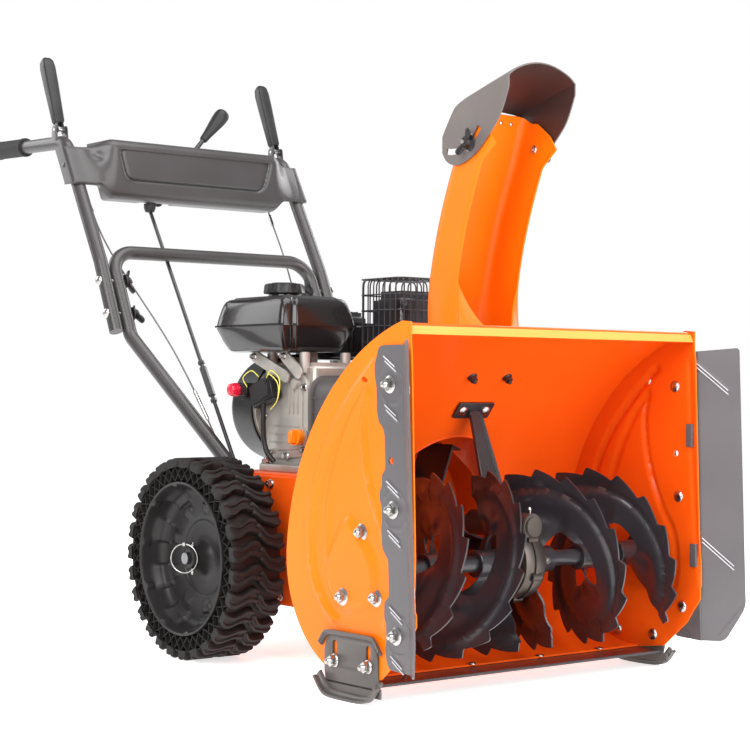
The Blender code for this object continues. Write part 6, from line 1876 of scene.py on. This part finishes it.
def make_small_controls():
    """Dipstick, lobed stop switch and the starter grip on its rope."""
    x, y, z = -0.106, back(0.512), 0.362
    stick = rod((-0.058, y, z), (-0.093, y, z), 0.007, segments=32)
    flange = turned([(0.0, -0.094), (0.0135, -0.094), (0.0135, -0.0835), (0.011, -0.0784),
                     (0.0, -0.0784)], "X", (0, y, z), steps=48, closed=False)
    knob = block((x, y - 0.0055, z - 0.012), (-0.0925, y + 0.0055, z + 0.012), bevel=0.003)
    dress(merge([stick, flange, knob]), "oil_dipstick", "orange_plastic", ["dipstick"], body="dipstick")
    rings = []
    for x, radius, lobe in ((-0.1064, 0.0122, 0.0), (-0.1085, 0.0125, 0.001), (-0.118, 0.0116, 0.0012),
                            (-0.1205, 0.0104, 0.0008), (-0.1218, 0.008, 0.0), (-0.122, 0.0004, 0.0)):
        loop = []
        for k in range(72):
            a = math.tau * k / 72
            r = radius - lobe * (0.5 + 0.5 * math.cos(SWITCH_LOBES * a))
            loop.append((x, back(0.668) + r * math.cos(a), 0.441 + r * math.sin(a)))
        rings.append(loop)
    dress(swept(rings), "stop_knob", "red_plastic", ["stop_switch"], body="stop_switch")
    x, z = -0.045, 0.43
    handle = block((x - 0.02, back(0.7275), z - 0.0085), (x + 0.02, back(0.742), z + 0.0085), bevel=0.005)
    neck = rod((x, back(0.7262), z), (x, back(0.734), z), 0.008, 0.01, segments=32, bevel=0.0008)
    rope = rod((x, back(0.682), z), (x, back(0.73), z), 0.0025, segments=16)
    dress(merge([handle, neck, rope]), "pull_grip", "black_plastic", ["starter_grip"],
          body="starter_grip")


GUARD_WIRE = 0.0013


def make_muffler():
    """The muffler and its wire guard."""
    low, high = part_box("muffler")
    body = block(low, high, bevel=0.016, segments=5)
    waist = block((low.x - 0.001, low.y - 0.001, 0.5535), (high.x + 0.001, high.y + 0.001, 0.5565),
                  bevel=0.0012)
    pipe = rod((0.11, back(0.5), 0.515), (0.11, back(0.56), 0.5), 0.013, segments=32)
    outlet = rod((0.08, low.y - 0.006, 0.585), (0.08, low.y + 0.01, 0.585), 0.01, segments=32)
    dress(merge([body, waist, pipe, outlet]), "muffler_shell", "black_steel", ["muffler"])
    low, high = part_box("muffler_guard")
    x0, x1, y0, y1 = low.x + GUARD_WIRE, high.x - GUARD_WIRE, low.y + GUARD_WIRE, high.y - GUARD_WIRE
    z0, z1 = low.z + GUARD_WIRE, high.z - GUARD_WIRE

    def hoop(start, end):
        """An upright wire arch, as (place across the guard, height) points."""
        return rounded([(start, z0), (start, z1), (end, z1), (end, z0)], [0.001, 0.012, 0.012, 0.001],
                       steps=4)

    wires = []
    for k in range(6):
        z = z0 + (z1 - z0) * k / 5
        loop = [(u, v, z) for u, v in rounded(oblong(x0, y0, x1, y1), 0.014, steps=4)]
        wires.append(tube(loop, GUARD_WIRE, 3, closed=True))
    for k in range(8):
        x = x0 + 0.01 + (x1 - x0 - 0.02) * k / 7
        wires.append(tube([(x, u, v) for u, v in hoop(y0, y1)], GUARD_WIRE, 3))
    for k in range(7):
        y = y0 + 0.01 + (y1 - y0 - 0.02) * k / 6
        wires.append(tube([(u, y, v) for u, v in hoop(x0, x1)], GUARD_WIRE, 3))
    for x in (x0 + 0.004, x1 - 0.004):
        wires.append(block((x - 0.0035, y0, z0 - 0.0005), (x + 0.0035, y1, z0 + 0.002), bevel=0.0006))
    dress(merge(wires), "muffler_cage", "black_steel", ["muffler_guard"])


def make_air_box():
    """Two-part air box with its ribs, knob and intake horn."""
    low, high = (0.046, back(0.632), 0.496), (0.16, back(0.712), 0.585)
    lower = block(low, (high[0], high[1], 0.548), bevel=0.007)
    lid = block((low[0] + 0.0015, low[1] + 0.0015, 0.55),
                (high[0] - 0.0015, high[1] - 0.0015, high[2] - 0.003), bevel=0.01)
    gasket = block((low[0] + 0.004, low[1] + 0.004, 0.546), (high[0] - 0.004, high[1] - 0.004, 0.552))
    ribs = [block((x - 0.0015, low[1] + 0.014, high[2] - 0.004),
                  (x + 0.0015, high[1] - 0.014, high[2] - 0.0012), bevel=0.0007)
            for x in (0.064, 0.076, 0.13, 0.142)]
    knob = turned([(0.0, high[2]), (0.0085, high[2]), (0.0095, high[2] - 0.0015),
                   (0.0095, high[2] - 0.006), (0.0, high[2] - 0.006)], "Z", (0.103, back(0.672), 0.0),
                  steps=40, closed=False)
    horn = block((0.06, back(0.56), 0.5), (0.15, back(0.64), 0.56), bevel=0.008)
    dress(merge([lower, lid, gasket, knob, horn, *ribs]), "air_box_shell", "black_plastic",
          ["carburettor_cover"])


def make_belt_cover():
    """Moulded cover over the belts: a rounded hood on a wider flange, with ribs and screws."""
    low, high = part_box("belt_cover")
    outline = rounded([(low.x, low.z), (low.x, high.z), (high.x, high.z), (high.x, low.z)],
                      [0.001, 0.034, 0.034, 0.001], steps=10)
    inset = 0.004
    inner = rounded([(low.x + inset, low.z), (low.x + inset, high.z - inset),
                     (high.x - inset, high.z - inset), (high.x - inset, low.z)],
                    [0.001, 0.032, 0.032, 0.001], steps=10)
    flange = plate(outline, "XZ", -(high.y - 0.0025), 0.005, bevel=0.0012)
    hood = plate(inner, "XZ", -(low.y + high.y - 0.004) / 2, high.y - low.y - 0.004, bevel=0.006)
    parts = [flange, hood]
    for k in range(5):
        z = low.z + 0.03 + 0.024 * k
        for side in (-1, 1):
            x = side * (high.x - inset)
            parts.append(block((x - 0.0014, low.y + 0.014, z - 0.0016),
                               (x + 0.0014, high.y - 0.006, z + 0.0016), bevel=0.0007))
    dress(merge(parts), "belt_guard", "grey_plastic", ["belt_cover"])
    screws = [plain_nut((x, high.y - 0.006, z), (0, -1, 0), 0.0045, 0.007, 0.0056)
              for x, z in ((low.x + 0.003, 0.33), (high.x - 0.003, 0.33))]
    dress(merge(screws), "belt_guard_screws", "zinc_steel")


# ---------------------------------------------------------------- stage, lights and camera
def make_stage():
    """A pale floor that the tools treat as part of the studio."""
    bm = bmesh.new()
    bmesh.ops.create_grid(bm, x_segments=8, y_segments=8, size=30.0)
    floor = from_bmesh("studio_floor", bm)
    material = bpy.data.materials.new("pale_floor")
    material.use_nodes = True
    tree = material.node_tree
    shader = tree.nodes["Principled BSDF"]
    shader.inputs["Roughness"].default_value = 0.85
    shader.inputs["Emission Color"].default_value = (1.0, 1.0, 1.0, 1.0)
    shader.inputs["Emission Strength"].default_value = 0.68
    speckle = node(tree, "ShaderNodeTexNoise", Scale=3.0)
    tones = node(tree, "ShaderNodeValToRGB")
    tones.color_ramp.elements[0].color = (0.8, 0.8, 0.8, 1.0)
    tones.color_ramp.elements[1].color = (0.82, 0.82, 0.82, 1.0)
    tree.links.new(speckle.outputs["Fac"], tones.inputs["Fac"])
    tree.links.new(tones.outputs["Color"], shader.inputs["Base Color"])
    floor.data.materials.append(material)


def aim(thing, target):
    """Turn a lamp toward a point."""
    thing.rotation_euler = (Vector(target) - thing.location).to_track_quat("-Z", "Y").to_euler()


# Name, place, side in metres and power in watts.
LAMPS = (
    ("key", (-2.6, -1.7, 2.1), 2.2, 98.0),
    ("front", (0.3, -3.2, 1.3), 2.4, 74.0),
    ("top", (0.1, -0.8, 3.2), 2.6, 76.0),
    ("rim", (2.3, 0.4, 1.7), 1.6, 30.0),
    ("rear", (-1.2, 2.6, 1.8), 1.8, 28.0),
)
LAMPS_AIM = (0.0, -0.1, 0.4)


def make_lights():
    """A soft white world, and five square lamps."""
    world = bpy.data.worlds.new("studio")
    bpy.context.scene.world = world
    world.use_nodes = True
    tree = world.node_tree
    tree.nodes.clear()
    output = tree.nodes.new("ShaderNodeOutputWorld")
    mix = tree.nodes.new("ShaderNodeMixShader")
    ray = tree.nodes.new("ShaderNodeLightPath")
    around = node(tree, "ShaderNodeBackground", Color=(0.95, 0.97, 1.0, 1.0), Strength=0.42)
    seen = node(tree, "ShaderNodeBackground", Color=(1.0, 1.0, 1.0, 1.0), Strength=1.0)
    tree.links.new(ray.outputs["Is Camera Ray"], mix.inputs["Fac"])
    tree.links.new(around.outputs["Background"], mix.inputs[1])
    tree.links.new(seen.outputs["Background"], mix.inputs[2])
    tree.links.new(mix.outputs["Shader"], output.inputs["Surface"])
    for name, place, size, power in LAMPS:
        light = bpy.data.lights.new(name, "AREA")
        light.shape = "SQUARE"
        light.size = size
        light.energy = power
        lamp = new_object(name, light)
        lamp.location = place
        aim(lamp, LAMPS_AIM)


CAMERA_PLACE, CAMERA_LENS = (-1.854, back(-1.935), 0.443), 86.12
CAMERA_TURNS = (38.28, 0.46, 0.29)                  # yaw, pitch and roll in degrees


def make_camera():
    """The camera stands low, off the machine's front right corner."""
    yaw, pitch, roll = [math.radians(degrees) for degrees in CAMERA_TURNS]
    forward = Vector((math.sin(yaw) * math.cos(pitch), math.cos(yaw) * math.cos(pitch), math.sin(pitch)))
    level = Vector((math.cos(yaw), -math.sin(yaw), 0.0))
    upright = level.cross(forward)
    right = level * math.cos(roll) + upright * math.sin(roll)
    up = upright * math.cos(roll) - level * math.sin(roll)
    data = bpy.data.cameras.new("camera")
    data.sensor_width = 36.0
    data.lens = CAMERA_LENS
    camera = new_object("camera", data)
    turn = Matrix((right, up, -forward)).transposed().to_4x4()
    camera.matrix_world = Matrix.Translation(CAMERA_PLACE) @ turn
    bpy.context.scene.camera = camera


make_camera()
make_stage()
make_lights()
bpy.context.scene.view_settings.view_transform = "Standard"
for make in (make_housing, make_side_plates, make_wings, make_skid_shoes, make_scraper, make_gearbox,
             make_strut, make_augers, make_bearings, make_wheels, make_chute, make_hood, make_hood_nuts,
             make_keeper, make_drum, make_impeller, make_transmission_frame, make_handles, make_dashboard,
             make_levers, make_shift, make_cables, make_tank, make_crankcase, make_ignition_box,
             make_recoil, make_small_controls, make_muffler, make_air_box, make_belt_cover):
    make()


# ---------------------------------------------------------------- CAD nodes that show as they are
slots_of_nodes = {entry["node"]: entry["material_slot"] for entry in frame["record"]["subparts"]}
for name, thing in frame["nodes"].items():
    if not thing.hide_render:
        thing.data.materials.clear()
        thing.data.materials.append(MATERIALS[slots_of_nodes[name]])
        thing.data.shade_smooth()
        thing.data.set_sharp_from_angle(angle=math.radians(35))
